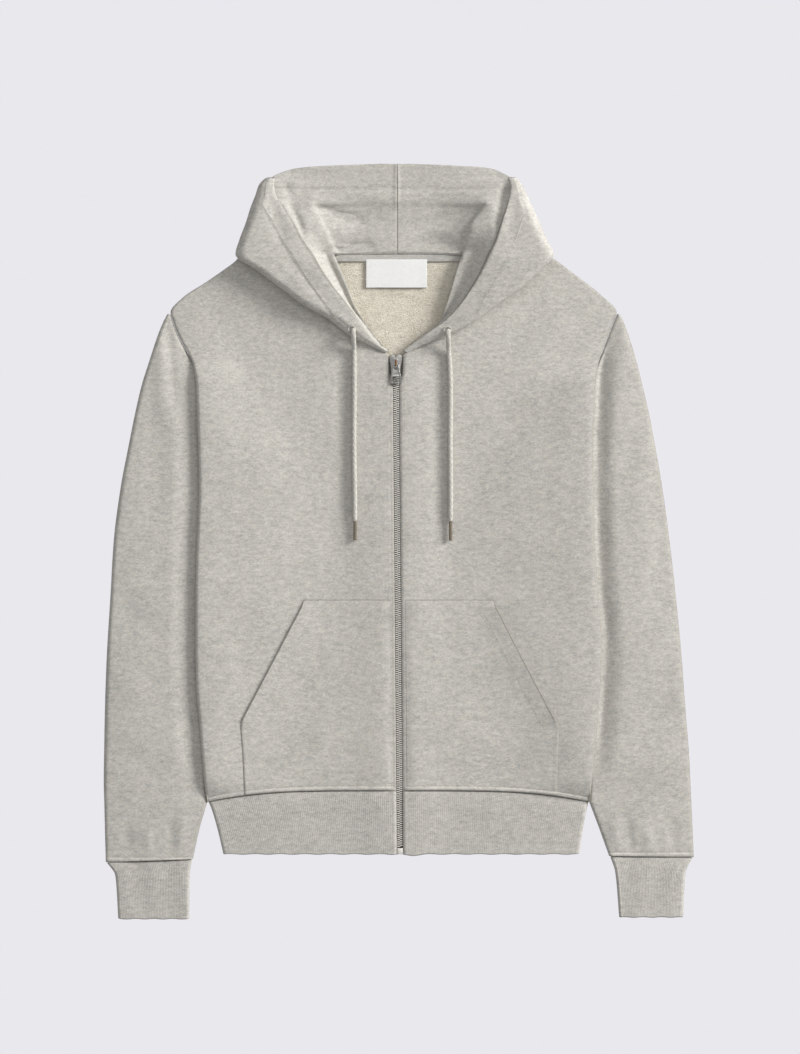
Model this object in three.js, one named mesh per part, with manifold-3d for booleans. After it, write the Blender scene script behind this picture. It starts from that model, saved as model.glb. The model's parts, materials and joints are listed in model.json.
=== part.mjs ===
// A zip up hoodie laid flat, face up, in loopback fleece. Millimetres, +Z up, hood towards +Y.
// The wearer's right side lies at -X. Every cloth piece is a closed wall of its own thickness.
import * as THREE from "three";
import { mergeVertices } from "three/addons/utils/BufferGeometryUtils.js";
import Module from "manifold-3d";

// Driving sizes of the cloth and its layers
const CLOTH = 2.0; // fleece wall
const RIB_CLOTH = 2.4; // rib knit wall
const RIB_HEIGHT = 0.35; // how far a rib stands out
const SEAM_GAP = 0.3; // between two pieces that are sewn together
const FRONT_TOP = 5.8; // top of the front panels over the flat back
const BAND_TOP = 6.2; // top of the rib waistband and cuffs
const SLEEVE_TOP = 7.8; // top of the sleeve where it shows
const FOREARM_TOP = 7.4; // and of the forearm clear of the body
const TUCKED_TOP = 5.4; // top of the sleeve under the body's edge
const BODY_LIFT = 5.8; // how far the body's sides rise over the sleeves
const LIFT_RUN = 32; // and how far inwards of the sleeve's edge the rise ends
const SIDE_PUFF = 1.6; // extra air beside the body's folded edge
const PUFF_RUN = 45; // and how far inwards that ends
const SIDE_ROUND = 4.0; // width of the rounded fold at the side
const ZIP_RISE = 1.9; // the front edges stand on the zip tapes
const NECK_Y = 312.6; // back neck seam
const SEAM_Y = -274.6; // waistband seam at the zip
const SEAM_DROP = 12.4; // the seam dips this much at the side
const SEAM_HALF = 209; // half the body's width at that seam
const HEM_Y = -344.3; // bottom edge of the waistband
const HEM_HALF = { right: 192.5, left: 198.6 };
const SIGN = { right: -1, left: 1 };
const SIDES = ["right", "left"];

// Body outline, one row a section: half widths on each side and the share of the full lift
const BODY = [
  { y: -287, right: 209.0, left: 208.5, lift: 0 },
  { y: -262, right: 212.9, left: 211.8, lift: 1 },
  { y: -235, right: 216.0, left: 215.1, lift: 1 },
  { y: -200, right: 218.8, left: 218.4, lift: 1 },
  { y: -155, right: 222.4, left: 221.7, lift: 1 },
  { y: -110, right: 223.3, left: 223.2, lift: 1 },
  { y: -50, right: 223.0, left: 218.8, lift: 1 },
  { y: 0, right: 221.6, left: 215.0, lift: 1 },
  { y: 60, right: 219.3, left: 214.0, lift: 1 },
  { y: 105, right: 220.2, left: 213.0, lift: 1 },
  { y: 140, right: 221.3, left: 215.1, lift: 1 },
  { y: 172, right: 222.5, left: 216.5, lift: 1 },
  { y: 193, right: 226.0, left: 219.4, lift: 0.5 },
  { y: 206, right: 231.5, left: 223.5, lift: 0.15 },
  { y: 227, right: 242.6, left: 231.5, lift: 0 },
  { y: 243, right: 248.6, left: 237.5, lift: 0 },
  { y: 251, right: 251.0, left: 240.3, lift: 0 },
  { y: 268, right: 236.8, left: 225.6, lift: 0 },
  { y: 285, right: 211.0, left: 204.5, lift: 0 },
  { y: 299, right: 191.0, left: 186.0, lift: 0 },
  { y: 306, right: 181.5, left: 177.0, lift: 0 },
  { y: NECK_Y, right: 175.0, left: 167.0, lift: 0 },
];

// Front edges: distance from the zip line at each section, then along the neckline under the hood
const FRONT_EDGE = [
  { y: -287, right: 3.4, left: 3.4 },
  { y: 172, right: 3.4, left: 3.4 },
  { y: 184, right: 7.4, left: 7.4 },
  { y: 206, right: 8.2, left: 8.2 },
  { y: 212, right: 20, left: 18 },
  { y: 218, right: 31, left: 32 },
  { y: 227, right: 46, left: 57 },
  { y: 243, right: 66, left: 79 },
  { y: 258, right: 93, left: 99 },
  { y: 272, right: 111, left: 122 },
  { y: 287, right: 131, left: 140 },
  { y: 299, right: 148, left: 152 },
  { y: 305, right: 157, left: 158 },
];
const FRONT_TIP = 305;

// Sleeve sections: outer edge on each side and how far the body laps over the inner edge
const SLEEVE = [
  { y: 243, right: 257.6, left: 246.7, over: -0.4 },
  { y: 227, right: 264.3, left: 252.6, over: -0.4 },
  { y: 206, right: 271.3, left: 259.2, over: -0.4 },
  { y: 193, right: 275.5, left: 262.8, over: -0.4 },
  { y: 172, right: 282.1, left: 268.0, over: -0.4 },
  { y: 140, right: 289.6, left: 275.4, over: 16 },
  { y: 105, right: 296.6, left: 282.0, over: 30 },
  { y: 60, right: 305.2, left: 289.8, over: 42 },
  { y: 0, right: 313.0, left: 298.0, over: 48 },
  { y: -60, right: 316.6, left: 304.8, over: 46 },
  { y: -130, right: 320.8, left: 311.4, over: 34 },
  { y: -190, right: 322.8, left: 315.9, over: 18 },
  { y: -235, right: 323.6, left: 319.4, over: 6 },
  { y: -262, right: 324.0, left: 320.7, over: -1.5 },
  { y: -287, right: 323.4, left: 321.9, over: -3 },
];
// The free forearm and the cuff: each edge has its own place, because the seam runs a little askew
const FOREARM = {
  right: [
    { outer: 322.7, inner: 218.8, outerY: -319, innerY: -317, top: 7.0 },
    { outer: 321.8, inner: 226.1, outerY: -353.1, innerY: -349.8, top: BAND_TOP },
  ],
  left: [
    { outer: 323.4, inner: 221.0, outerY: -318, innerY: -317, top: 7.0 },
    { outer: 324.6, inner: 231.6, outerY: -347.6, innerY: -346.5, top: BAND_TOP },
  ],
};
const CUFF = {
  right: [
    { outer: 320.6, inner: 227.0, outerY: -353.5, innerY: -350.2 },
    { outer: 311.3, inner: 229.4, outerY: -367.4, innerY: -366.4 },
    { outer: 308.1, inner: 230.0, outerY: -415.5, innerY: -415.5 },
  ],
  left: [
    { outer: 323.4, inner: 232.8, outerY: -348.0, innerY: -346.9 },
    { outer: 315.6, inner: 238.2, outerY: -364.8, innerY: -363.8 },
    { outer: 313.0, inner: 242.6, outerY: -413.6, innerY: -413.6 },
  ],
};
const CUFF_RIBS = 30;
const BAND_RIBS = 76; // on each front arm of the waistband

// Pocket outline: distance of its outer edge from the middle, up from the waistband
const POCKET = [
  { y: -273.5, right: 168.8, left: 173.4 },
  { y: -240, right: 170.6, left: 174.8 },
  { y: -204, right: 173.2, left: 176.2 },
  { y: -196, right: 171.2, left: 171.4 },
  { y: -134, right: 138.6, left: 138.6 },
  { y: -72, right: 106.0, left: 106.8 },
  { y: -64.4, right: 104.4, left: 105.0 },
];
const POCKET_EDGE = 8.2; // inner edge beside the zip, from the zip line

// Hood sections from the bottom of the V up to the crown corner. fold is the outer visible edge,
// edge the hemmed opening, inner the end of the lining; roll, hem and sink are heights.
const HOOD = {
  right: [
    { fold: [-29.2, 213.6], edge: [-20.4, 215.4], inner: [-16.5, 214.0], roll: 11, hem: 10.2, sink: 5.0 },
    { fold: [-52.3, 224.4], edge: [-31.4, 226.6], inner: [-25.9, 225.5], roll: 15, hem: 13.2, sink: 4.8 },
    { fold: [-76.5, 243.1], edge: [-44.6, 244.2], inner: [-38.0, 242.0], roll: 19, hem: 16.0, sink: 4.6 },
    { fold: [-104, 258.5], edge: [-56.7, 260.7], inner: [-48.4, 259.6], roll: 22, hem: 18.0, sink: 4.6 },
    { fold: [-129.3, 277.2], edge: [-69.3, 276.7], inner: [-55.0, 277.2], roll: 24, hem: 19.0, sink: 4.6 },
    { fold: [-155.7, 297], edge: [-83.0, 296.5], inner: [-63.8, 298.1], roll: 26, hem: 20.0, sink: 4.6 },
    { fold: [-178.8, 314.2], edge: [-93.5, 314.6], inner: [-71.0, 315.6], roll: 27, hem: 20.0, sink: 5.0 },
    { fold: [-174.4, 331.1], edge: [-104.5, 330], inner: [-51.2, 316.0], roll: 27, hem: 20.0, sink: 5.4 },
    { fold: [-167.8, 348.7], edge: [-114.4, 348.7], inner: [-25.9, 316.4], roll: 26, hem: 19.0, sink: 5.8 },
    { fold: [-162.3, 366.3], edge: [-125.4, 365.2], inner: [-2.2, 316.8], roll: 24, hem: 18.0, sink: 6.0 },
    { fold: [-156.8, 380.6], edge: [-133.7, 379.5], inner: [-2.2, 338.8], roll: 21, hem: 16.0, sink: 6.4 },
    { fold: [-153.5, 390.5], edge: [-135.9, 390.5], inner: [-2.2, 358.6], roll: 18, hem: 14.0, sink: 7.6 },
    { fold: [-145.6, 398.8], edge: [-135.5, 399.3], inner: [-2.2, 376.2], roll: 14, hem: 12.0, sink: 9.6 },
    { fold: [-112.8, 409.2], edge: [-112.8, 409.2], inner: [-2.2, 391.6], roll: 7.6, hem: 9.9, sink: 8.6 },
    { fold: [-69.9, 412.5], edge: [-69.9, 412.5], inner: [-2.2, 403.2], roll: 7.6, hem: 9.9, sink: 8.0 },
    { fold: [-20.4, 414.2], edge: [-20.4, 414.2], inner: [-2.2, 411.2], roll: 7.6, hem: 9.9, sink: 7.6 },
  ],
  left: [
    { fold: [23.7, 213.6], edge: [17.0, 217.8], inner: [11.6, 215.0], roll: 11, hem: 10.2, sink: 5.0 },
    { fold: [49.0, 223.3], edge: [31.4, 228.3], inner: [24.8, 225.4], roll: 14, hem: 13.2, sink: 4.8 },
    { fold: [78.7, 238.2], edge: [52.3, 243.7], inner: [45.1, 242.0], roll: 17, hem: 16.0, sink: 4.6 },
    { fold: [106.2, 257.4], edge: [66.6, 259.5], inner: [52.3, 259.6], roll: 20, hem: 18.0, sink: 4.6 },
    { fold: [131.5, 275], edge: [78.1, 276.6], inner: [57.8, 277.2], roll: 22, hem: 19.0, sink: 4.6 },
    { fold: [152.4, 293.2], edge: [88.6, 294.6], inner: [63.3, 296.8], roll: 24, hem: 20.0, sink: 4.6 },
    { fold: [169.9, 314.2], edge: [97.9, 314.6], inner: [70.4, 315.6], roll: 26, hem: 20.0, sink: 5.0 },
    { fold: [162.7, 331.1], edge: [105.6, 330], inner: [50.1, 316.0], roll: 26, hem: 20.0, sink: 5.4 },
    { fold: [155.5, 348.7], edge: [111.7, 348.2], inner: [23.7, 316.4], roll: 25, hem: 19.0, sink: 5.8 },
    { fold: [147.3, 366.3], edge: [117.7, 365.8], inner: [-1.4, 316.8], roll: 23, hem: 18.0, sink: 6.0 },
    { fold: [140.8, 380.6], edge: [121.6, 380], inner: [-1.4, 338.8], roll: 20, hem: 16.0, sink: 6.4 },
    { fold: [136.2, 390.5], edge: [122.2, 390], inner: [-1.4, 358.6], roll: 18, hem: 14.0, sink: 7.6 },
    { fold: [128.6, 399.3], edge: [119.5, 399.3], inner: [-1.4, 376.2], roll: 14, hem: 12.0, sink: 9.6 },
    { fold: [100.7, 409.2], edge: [100.7, 409.2], inner: [-1.4, 391.6], roll: 7.6, hem: 9.9, sink: 8.6 },
    { fold: [56.7, 412.5], edge: [56.7, 412.5], inner: [-1.4, 403.2], roll: 7.6, hem: 9.9, sink: 8.0 },
    { fold: [12.7, 414.2], edge: [12.7, 414.2], inner: [-1.4, 411.2], roll: 7.6, hem: 9.9, sink: 7.6 },
  ],
};
const OVER_BODY = 7; // this many hood sections lie on the front panels
const FLAP_LOW = 6.2; // underside of the hood there
const FLAP_ROWS = 13; // hood sections that have an outer flap turned in over the lining
const HOOD_UNDER = 9; // how far the flap runs back in underneath its fold
const HOOD_ROUND = 11; // width of the rounded fold
const HOOD_LAP = 4; // the lining starts this far under the flap's hem

// Drawcords: diameter, eyelets and the free ends' routes, measured along the cord's middle
const CORD_D = 5.6;
const EYELET_R = 4.4;
const EYELET_HOLE = 3.0;
const EYELET_H = 0.9;
const AGLET_D = 3.6;
const AGLET_LENGTH = 21;
const CORD_SIDES = 10;
const CORD_STEPS = 20;
const CORD_ROUTE = {
  right: [
    [-49.6, 229.5, 21.2], [-49.3, 224.0, 19.6], [-49.0, 217.0, 14.4], [-48.8, 210.0, 10.2],
    [-48.6, 203.0, 9.0], [-48.5, 190.0, 9.0], [-48.5, 172.0, 9.0], [-48.6, 152.0, 9.0],
    [-48.8, 132.0, 9.0], [-48.9, 112.0, 9.0], [-48.7, 92.0, 9.0], [-48.4, 72.0, 9.0],
    [-48.1, 52.0, 9.0], [-47.9, 36.0, 9.0], [-47.8, 22.0, 9.0],
  ],
  left: [
    [54.4, 228.5, 20.2], [54.5, 223.0, 18.8], [54.8, 216.0, 14.0], [55.2, 209.0, 10.2],
    [55.7, 202.0, 9.0], [56.6, 189.0, 9.0], [57.1, 172.0, 9.0], [57.2, 152.0, 9.0],
    [57.0, 132.0, 9.0], [56.9, 112.0, 9.0], [57.0, 92.0, 9.0], [57.2, 72.0, 9.0],
    [57.3, 52.0, 9.0], [57.2, 36.0, 9.0], [57.1, 22.0, 9.0],
  ],
};
const EYELET = { right: { row: 1.42, along: 11 }, left: { row: 1.46, along: 9 } };

// Zip: chain, tapes, slider and pull tab
const ZIP_X0 = -2.75; // the zip line at ZIP_Y0, leaning a little to +X below
const ZIP_Y0 = 171.6;
const ZIP_LEAN = 0.0086;
const CHAIN_W = 6.0;
const CHAIN_Z = [3.9, 6.3];
const CHAIN_Y = [-337, 192];
const TAPE_Z = [4.5, 5.3];
const TAPE_OUT = 15.5;
const SLIDER_Y = 194; // the pull tab's hinge
const PLATE_LOW = [2.4, 3.5];
const PLATE_HIGH = [6.7, 7.9];
const PIN_Z = 9.0;
const TAB_LENGTH = 21.5;
const TAB_T = 1.4;

const MATERIALS = {
  fleece: { color: 0xc2c0ba, roughness: 0.95, metalness: 0 },
  lining: { color: 0xbdbbb5, roughness: 0.95, metalness: 0 },
  rib: { color: 0xb9b6b0, roughness: 0.95, metalness: 0 },
  label: { color: 0xf4f3f1, roughness: 0.8, metalness: 0 },
  cord: { color: 0xc8c5be, roughness: 0.9, metalness: 0 },
  metal: { color: 0x7d7b76, roughness: 0.35, metalness: 1 },
};

// Small sums
const mix = (a, b, t) => a + (b - a) * t;
function smooth(a, b, v) {
  const t = Math.min(1, Math.max(0, (v - a) / (b - a)));
  return t * t * (3 - 2 * t);
}

// A table's column at height y, read between its two nearest rows
function at(table, y, column) {
  const up = table[0].y < table[table.length - 1].y;
  const rows = up ? table : [...table].reverse();
  if (y <= rows[0].y) return rows[0][column];
  for (let i = 1; i < rows.length; i++) {
    if (y <= rows[i].y) {
      const t = (y - rows[i - 1].y) / (rows[i].y - rows[i - 1].y);
      return mix(rows[i - 1][column], rows[i][column], t);
    }
  }
  return rows[rows.length - 1][column];
}

const zipX = (y) => ZIP_X0 + (ZIP_Y0 - y) * ZIP_LEAN;
const seamY = (x) => SEAM_Y - SEAM_DROP * (Math.min(1, Math.abs(x) / SEAM_HALF)) ** 4;

// Height of the raised cloth beside the zip
function zipRise(x, y) {
  const across = 1 - smooth(17, 36, Math.abs(x - zipX(y)));
  return ZIP_RISE * across * (1 - smooth(203, 212, y));
}

// How far the body is lifted by the sleeve under its side
function bodyLift(side, x, y) {
  const fromEdge = at(BODY, y, side) - Math.abs(x);
  const lap = Math.max(0, at(SLEEVE, y, "over"));
  return BODY_LIFT * at(BODY, y, "lift") * (1 - smooth(lap + 6, lap + LIFT_RUN, fromEdge));
}
function sidePuff(side, x, y) {
  const fromEdge = at(BODY, y, side) - Math.abs(x);
  return SIDE_PUFF * at(BODY, y, "lift") * (1 - smooth(8, PUFF_RUN, fromEdge));
}
function frontTop(side, x, y) {
  return FRONT_TOP + bodyLift(side, x, y) + sidePuff(side, x, y) + zipRise(x, y);
}

// A line moved sideways by its own normals, the ring closed or the line open
function offset(line, distance, closed) {
  return line.map((p, i) => {
    const last = line.length - 1;
    const before = line[i > 0 ? i - 1 : closed ? last : 0];
    const after = line[i < last ? i + 1 : closed ? 0 : last];
    const a = unit(p[0] - before[0], p[1] - before[1]);
    const b = unit(after[0] - p[0], after[1] - p[1]);
    const start = a ?? b;
    const end = b ?? a;
    const middle = unit(start[0] + end[0], start[1] + end[1]) ?? end;
    const stretch = Math.min(1.25, 1 / Math.max(0.4, middle[0] * end[0] + middle[1] * end[1]));
    return [p[0] - middle[1] * distance * stretch, p[1] + middle[0] * distance * stretch];
  });
}
function unit(x, y) {
  const length = Math.hypot(x, y);
  return length > 1e-6 ? [x / length, y / length] : null;
}

// A closed wall between rows of outer and inner points. ring joins each row's ends, and step is
// how many outer columns share one inner column.
function wall(outer, inner, { ring = false, step = 1 } = {}) {
  const columns = outer[0].length;
  const innerColumns = inner[0].length;
  const points = [...outer.flat(), ...inner.flat()];
  const innerStart = outer.length * columns;
  const o = (r, c) => r * columns + (c % columns);
  const i = (r, c) => innerStart + r * innerColumns + (c % innerColumns);
  const faces = [];
  const cells = ring ? columns : columns - 1;
  const innerCells = cells / step;
  for (let r = 0; r < outer.length - 1; r++) {
    for (let c = 0; c < cells; c++) {
      faces.push(o(r, c), o(r, c + 1), o(r + 1, c + 1), o(r, c), o(r + 1, c + 1), o(r + 1, c));
    }
    for (let c = 0; c < innerCells; c++) {
      faces.push(i(r, c), i(r + 1, c + 1), i(r, c + 1), i(r, c), i(r + 1, c), i(r + 1, c + 1));
    }
  }
  const last = outer.length - 1;
  for (let c = 0; c < innerCells; c++) {
    for (let k = c * step; k < (c + 1) * step; k++) {
      faces.push(o(0, k + 1), o(0, k), i(0, c), o(last, k), o(last, k + 1), i(last, c));
    }
    const k = (c + 1) * step;
    faces.push(o(0, k), i(0, c), i(0, c + 1), o(last, k), i(last, c + 1), i(last, c));
  }
  if (!ring) {
    const e = columns - 1;
    const f = innerColumns - 1;
    for (let r = 0; r < last; r++) {
      faces.push(o(r, 0), o(r + 1, 0), i(r + 1, 0), o(r, 0), i(r + 1, 0), i(r, 0));
      faces.push(o(r + 1, e), o(r, e), i(r, f), o(r + 1, e), i(r, f), i(r + 1, f));
    }
  }
  return closedGeometry(points, faces);
}

// A geometry from points and triangles, turned so that its faces look outwards
function closedGeometry(points, faces) {
  let volume = 0;
  for (let f = 0; f < faces.length; f += 3) {
    const [a, b, c] = [0, 1, 2].map((k) => points[faces[f + k]]);
    volume += a[0] * (b[1] * c[2] - b[2] * c[1]) + a[1] * (b[2] * c[0] - b[0] * c[2]);
    volume += a[2] * (b[0] * c[1] - b[1] * c[0]);
  }
  const turned = volume < 0 ? faces.toReversed() : faces;
  const geometry = new THREE.BufferGeometry();
  geometry.setAttribute("position", new THREE.Float32BufferAttribute(points.flat(), 3));
  geometry.setIndex(turned);
  geometry.computeVertexNormals();
  return geometry;
}

// A panel's columns beside its side fold, as distances from the edge. They follow the sleeve's lap.
const FOLD_RUNS = [32, 25, 19, 13, 6];
function foldColumns(y) {
  const lap = Math.max(0, at(SLEEVE, y, "over"));
  return [...FOLD_RUNS.map((run) => lap + run), SIDE_ROUND];
}

// Front panel: from the zip or the neckline out to the rounded fold at the side
const ZIP_COLUMNS = [0, 13.6, 19, 25, 32.6]; // distances from the front edge, over the zip's rise
const BETWEEN = [0.3, 0.6, 0.8]; // columns between the rise and the side fold
const ROUND_ANGLES = [45, 90];
const PANEL_Y = [
  SEAM_Y, -262, -235, -200, -110, -50, 0, 60, 140, 172, 184, 193, 206, 212, 227, 243, 251, 268,
  285, 299, FRONT_TIP,
];
function frontSection(side, y) {
  const edge = at(BODY, y, side);
  const start = SIGN[side] * zipX(y) + at(FRONT_EDGE, y, side);
  const end = edge - SIDE_ROUND;
  const fold = foldColumns(y);
  const squeeze = Math.min(1, (end - start) / (ZIP_COLUMNS[4] + fold[0] + 10));
  const near = ZIP_COLUMNS.map((d) => start + squeeze * d);
  const far = fold.map((d) => end - squeeze * (d - SIDE_ROUND));
  const between = BETWEEN.map((s) => mix(near[4], far[0], s));
  const flat = [...near, ...between, ...far].map((x) => [x, frontTop(side, SIGN[side] * x, y)]);
  const [cx, top] = flat[flat.length - 1];
  const bottom = bodyLift(side, SIGN[side] * cx, y);
  const middle = (top + bottom + SEAM_GAP) / 2;
  const round = ROUND_ANGLES.map((degrees) => {
    const a = THREE.MathUtils.degToRad(degrees);
    return [cx + SIDE_ROUND * Math.sin(a), middle + (top - middle) * Math.cos(a)];
  });
  return [...flat, ...round];
}
function panelRow(side, y, line) {
  const bottomRow = y === SEAM_Y;
  return line.map(([x, z]) => [SIGN[side] * x, bottomRow ? seamY(x) + SEAM_GAP / 2 : y, z]);
}
function front(side) {
  const sections = PANEL_Y.map((y) => frontSection(side, y));
  const outer = sections.map((line, r) => panelRow(side, PANEL_Y[r], line));
  const inner = sections.map((line, r) => {
    const moved = offset(line, -CLOTH, false);
    moved[0][0] = line[0][0];
    moved[moved.length - 1][1] = line[line.length - 1][1];
    return panelRow(side, PANEL_Y[r], moved);
  });
  return wall(outer, inner);
}

// Back panel: flat in the middle, raised over the sleeves and curled up to meet the fronts
const BACK_SHARES = [0.86, 0.7, 0.5, 0.25, 0]; // columns between the fold and the middle
const BACK_Y = [
  SEAM_Y, -262, -235, -200, -110, -50, 0, 60, 140, 172, 193, 206, 227, 243, 251, 268, 285, 299,
  NECK_Y,
];
function backHalf(side, y) {
  const edge = at(BODY, y, side);
  const cx = edge - SIDE_ROUND;
  const low = (x) => bodyLift(side, SIGN[side] * x, y);
  const middle = (frontTop(side, SIGN[side] * cx, y) + low(cx) - SEAM_GAP) / 2;
  const round = ROUND_ANGLES.toReversed().map((degrees) => {
    const a = THREE.MathUtils.degToRad(degrees);
    return [cx + SIDE_ROUND * Math.sin(a), middle - (middle - low(cx)) * Math.cos(a)];
  });
  const fold = foldColumns(y).toReversed().map((d) => edge - d);
  const flat = BACK_SHARES.map((s) => s * fold[fold.length - 1]);
  return [...round, ...[...fold, ...flat].map((x) => [x, low(x)])];
}
function back() {
  const lines = BACK_Y.map((y) => {
    const right = backHalf("right", y).map(([x, z]) => [-x, z]);
    const left = backHalf("left", y).toReversed().slice(1);
    return [...right, ...left];
  });
  const place = (line, r) =>
    line.map(([x, z]) => [x, r === 0 ? seamY(x) + SEAM_GAP / 2 : BACK_Y[r], z]);
  const inside = lines.map((line) => {
    const moved = offset(line, CLOTH, false);
    moved[0][1] = line[0][1];
    moved[moved.length - 1][1] = line[line.length - 1][1];
    return moved;
  });
  return wall(lines.map(place), inside.map(place));
}

// A flattened tube between an inner and an outer edge, as a ring of [x, z]. top gives its height,
// and the shares are its columns underneath and on top, read from the inner edge.
const END_ANGLES = [-90, -45, 0, 45, 90];
function tubeRing(inner, outer, top, { underneath, above }) {
  const half = (x) => top(x) / 2;
  const round = (x) => Math.min(half(x), (outer - inner) / 2 - 0.2);
  const a = inner + round(inner);
  const b = outer - round(outer);
  const under = underneath.map((s) => [mix(a, b, s), 0]);
  const far = END_ANGLES.map((degrees) => {
    const angle = THREE.MathUtils.degToRad(degrees);
    return [b + round(outer) * Math.cos(angle), half(b) * (1 + Math.sin(angle))];
  });
  const over = above.toReversed().map((s) => [mix(a, b, s), top(mix(a, b, s))]);
  const near = END_ANGLES.toReversed().map((degrees) => {
    const angle = THREE.MathUtils.degToRad(degrees);
    return [a - round(inner) * Math.cos(angle), half(a) * (1 + Math.sin(angle))];
  });
  return [...under, ...far, ...over, ...near];
}

// Sleeve: a flattened tube from the armhole seam to the cuff, its inner side under the body
const SLEEVE_RISE = [3, 14, 26]; // its top rises between these distances from the body's edge
function sleeveShares(inner, outer, edge) {
  const start = inner + SLEEVE_TOP / 2;
  const width = Math.max(1, outer - inner - SLEEVE_TOP);
  const rise = SLEEVE_RISE.map((d, k) => {
    return Math.min(0.2 * (k + 1), Math.max(0.04 * (k + 1), (edge + d - start) / width));
  });
  return { underneath: [0.33, 0.67], above: [...rise, 0.8] };
}
function sleeve(side) {
  const rings = SLEEVE.map((row) => {
    const edge = at(BODY, row.y, side);
    const top = (x) => {
      const besideBody = mix(TUCKED_TOP, SLEEVE_TOP, smooth(3, 26, x - edge));
      return mix(FOREARM_TOP, besideBody, smooth(-287, -235, row.y));
    };
    const inner = edge - row.over;
    const ring = tubeRing(inner, row[side], top, sleeveShares(inner, row[side], edge));
    return { ring, y: () => row.y };
  });
  FOREARM[side].forEach((row) => {
    const shares = sleeveShares(row.inner, row.outer, row.inner);
    const ring = tubeRing(row.inner, row.outer, () => row.top, shares);
    const y = (x) => mix(row.innerY, row.outerY, (x - row.inner) / (row.outer - row.inner));
    rings.push({ ring, y });
  });
  const place = (line, y) => line.map(([x, z]) => [SIGN[side] * x, y(x), z]);
  return wall(
    rings.map(({ ring, y }) => place(ring, y)),
    rings.map(({ ring, y }) => place(offset(ring, CLOTH, true), y)),
    { ring: true },
  );
}

// Cuff: a rib tube, ribs raised over its top and a plain inside
const INNER_STEP = 4;
function cuff(side) {
  const above = Array.from({ length: 2 * CUFF_RIBS - 1 }, (_, k) => (k + 1) / (2 * CUFF_RIBS));
  const shares = { underneath: [0.25, 0.5, 0.75], above };
  const first = shares.underneath.length + END_ANGLES.length;
  const rows = CUFF[side].map((row) => {
    const plain = tubeRing(row.inner, row.outer, () => BAND_TOP, shares);
    const ribbed = plain.map(([x, z], k) => {
      const onTop = k >= first && k < first + above.length;
      return [x, onTop && (k - first) % 2 === 0 ? z - RIB_HEIGHT : z];
    });
    const y = (x) => mix(row.innerY, row.outerY, (x - row.inner) / (row.outer - row.inner));
    return { plain, ribbed, y };
  });
  const place = (line, y) => line.map(([x, z]) => [SIGN[side] * x, y(x), z]);
  return wall(
    rows.map(({ ribbed, y }) => place(ribbed, y)),
    rows.map(({ plain, y }) => {
      const inside = offset(plain, RIB_CLOTH, true).filter((_, k) => k % INNER_STEP === 0);
      return place(inside, y);
    }),
    { ring: true, step: INNER_STEP },
  );
}

// Waistband: one rib strip from the zip round the back to the zip, ribs raised on its two fronts
const BAND_ROUND = 3;
const BAND_ROWS = [0, 0.22, 1];
const UNDER_COLUMNS = 17; // across the plain back of the waistband
function bandLine(share) {
  const y = mix(SEAM_Y, HEM_Y, share);
  const halfWidth = (side) => mix(SEAM_HALF, HEM_HALF[side], share ** 0.8);
  const arm = (side) => {
    const start = SIGN[side] * zipX(y) + 3.4;
    const end = halfWidth(side) - BAND_ROUND;
    return Array.from({ length: 2 * BAND_RIBS + 1 }, (_, k) => {
      const x = mix(start, end, k / (2 * BAND_RIBS));
      return { x: SIGN[side] * x, z: BAND_TOP + zipRise(SIGN[side] * x, y), rib: k % 2 === 1 };
    });
  };
  const bend = (side) =>
    [-60, -30, 0, 30, 60].map((degrees) => {
      const a = THREE.MathUtils.degToRad(degrees);
      const x = halfWidth(side) - BAND_ROUND + BAND_ROUND * Math.cos(a);
      return { x: SIGN[side] * x, z: (BAND_TOP / 2) * (1 + Math.sin(a)), rib: false };
    });
  const under = Array.from({ length: UNDER_COLUMNS }, (_, k) => {
    const from = -(halfWidth("right") - BAND_ROUND);
    const to = halfWidth("left") - BAND_ROUND;
    return { x: mix(from, to, k / (UNDER_COLUMNS - 1)), z: 0, rib: false };
  });
  const rightHalf = [...arm("right"), ...bend("right").toReversed()];
  const leftHalf = [...bend("left"), ...arm("left").toReversed()];
  return [...rightHalf, ...under, ...leftHalf];
}
function waistband() {
  const lines = BAND_ROWS.map(bandLine);
  const place = (line, share) =>
    line.map(([x, z]) => [x, mix(seamY(x) - SEAM_GAP / 2, HEM_Y, share), z]);
  const outer = lines.map((line, r) =>
    place(line.map((p) => [p.x, p.rib ? p.z - RIB_HEIGHT : p.z]), BAND_ROWS[r]),
  );
  const inner = lines.map((line, r) => {
    const moved = offset(line.map((p) => [p.x, p.z]), RIB_CLOTH, false);
    moved[0][0] = line[0].x;
    moved[moved.length - 1][0] = line[line.length - 1].x;
    return place(moved.filter((_, k) => k % INNER_STEP === 0), BAND_ROWS[r]);
  });
  return wall(outer, inner, { step: INNER_STEP });
}

// Pocket: cut to its outline and laid on the front panel's own surface
const POCKET_SHARES = [0, 0.06, 0.16, 0.28, 0.4, 0.5, 0.6, 0.7, 0.8, 0.9, 1];
const POCKET_LIFT = 0.7;
const POCKET_CLOTH = 1.8;
function pocket(side) {
  const lay = (lift) =>
    POCKET.map((row) => {
      const start = SIGN[side] * zipX(row.y) + POCKET_EDGE;
      return POCKET_SHARES.map((s) => {
        const x = SIGN[side] * mix(start, row[side], s);
        const y = row === POCKET[0] ? seamY(x) + 1.5 : row.y;
        return [x, y, frontTop(side, x, y) + lift];
      });
    });
  return wall(lay(POCKET_LIFT + POCKET_CLOTH), lay(POCKET_LIFT));
}

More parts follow.
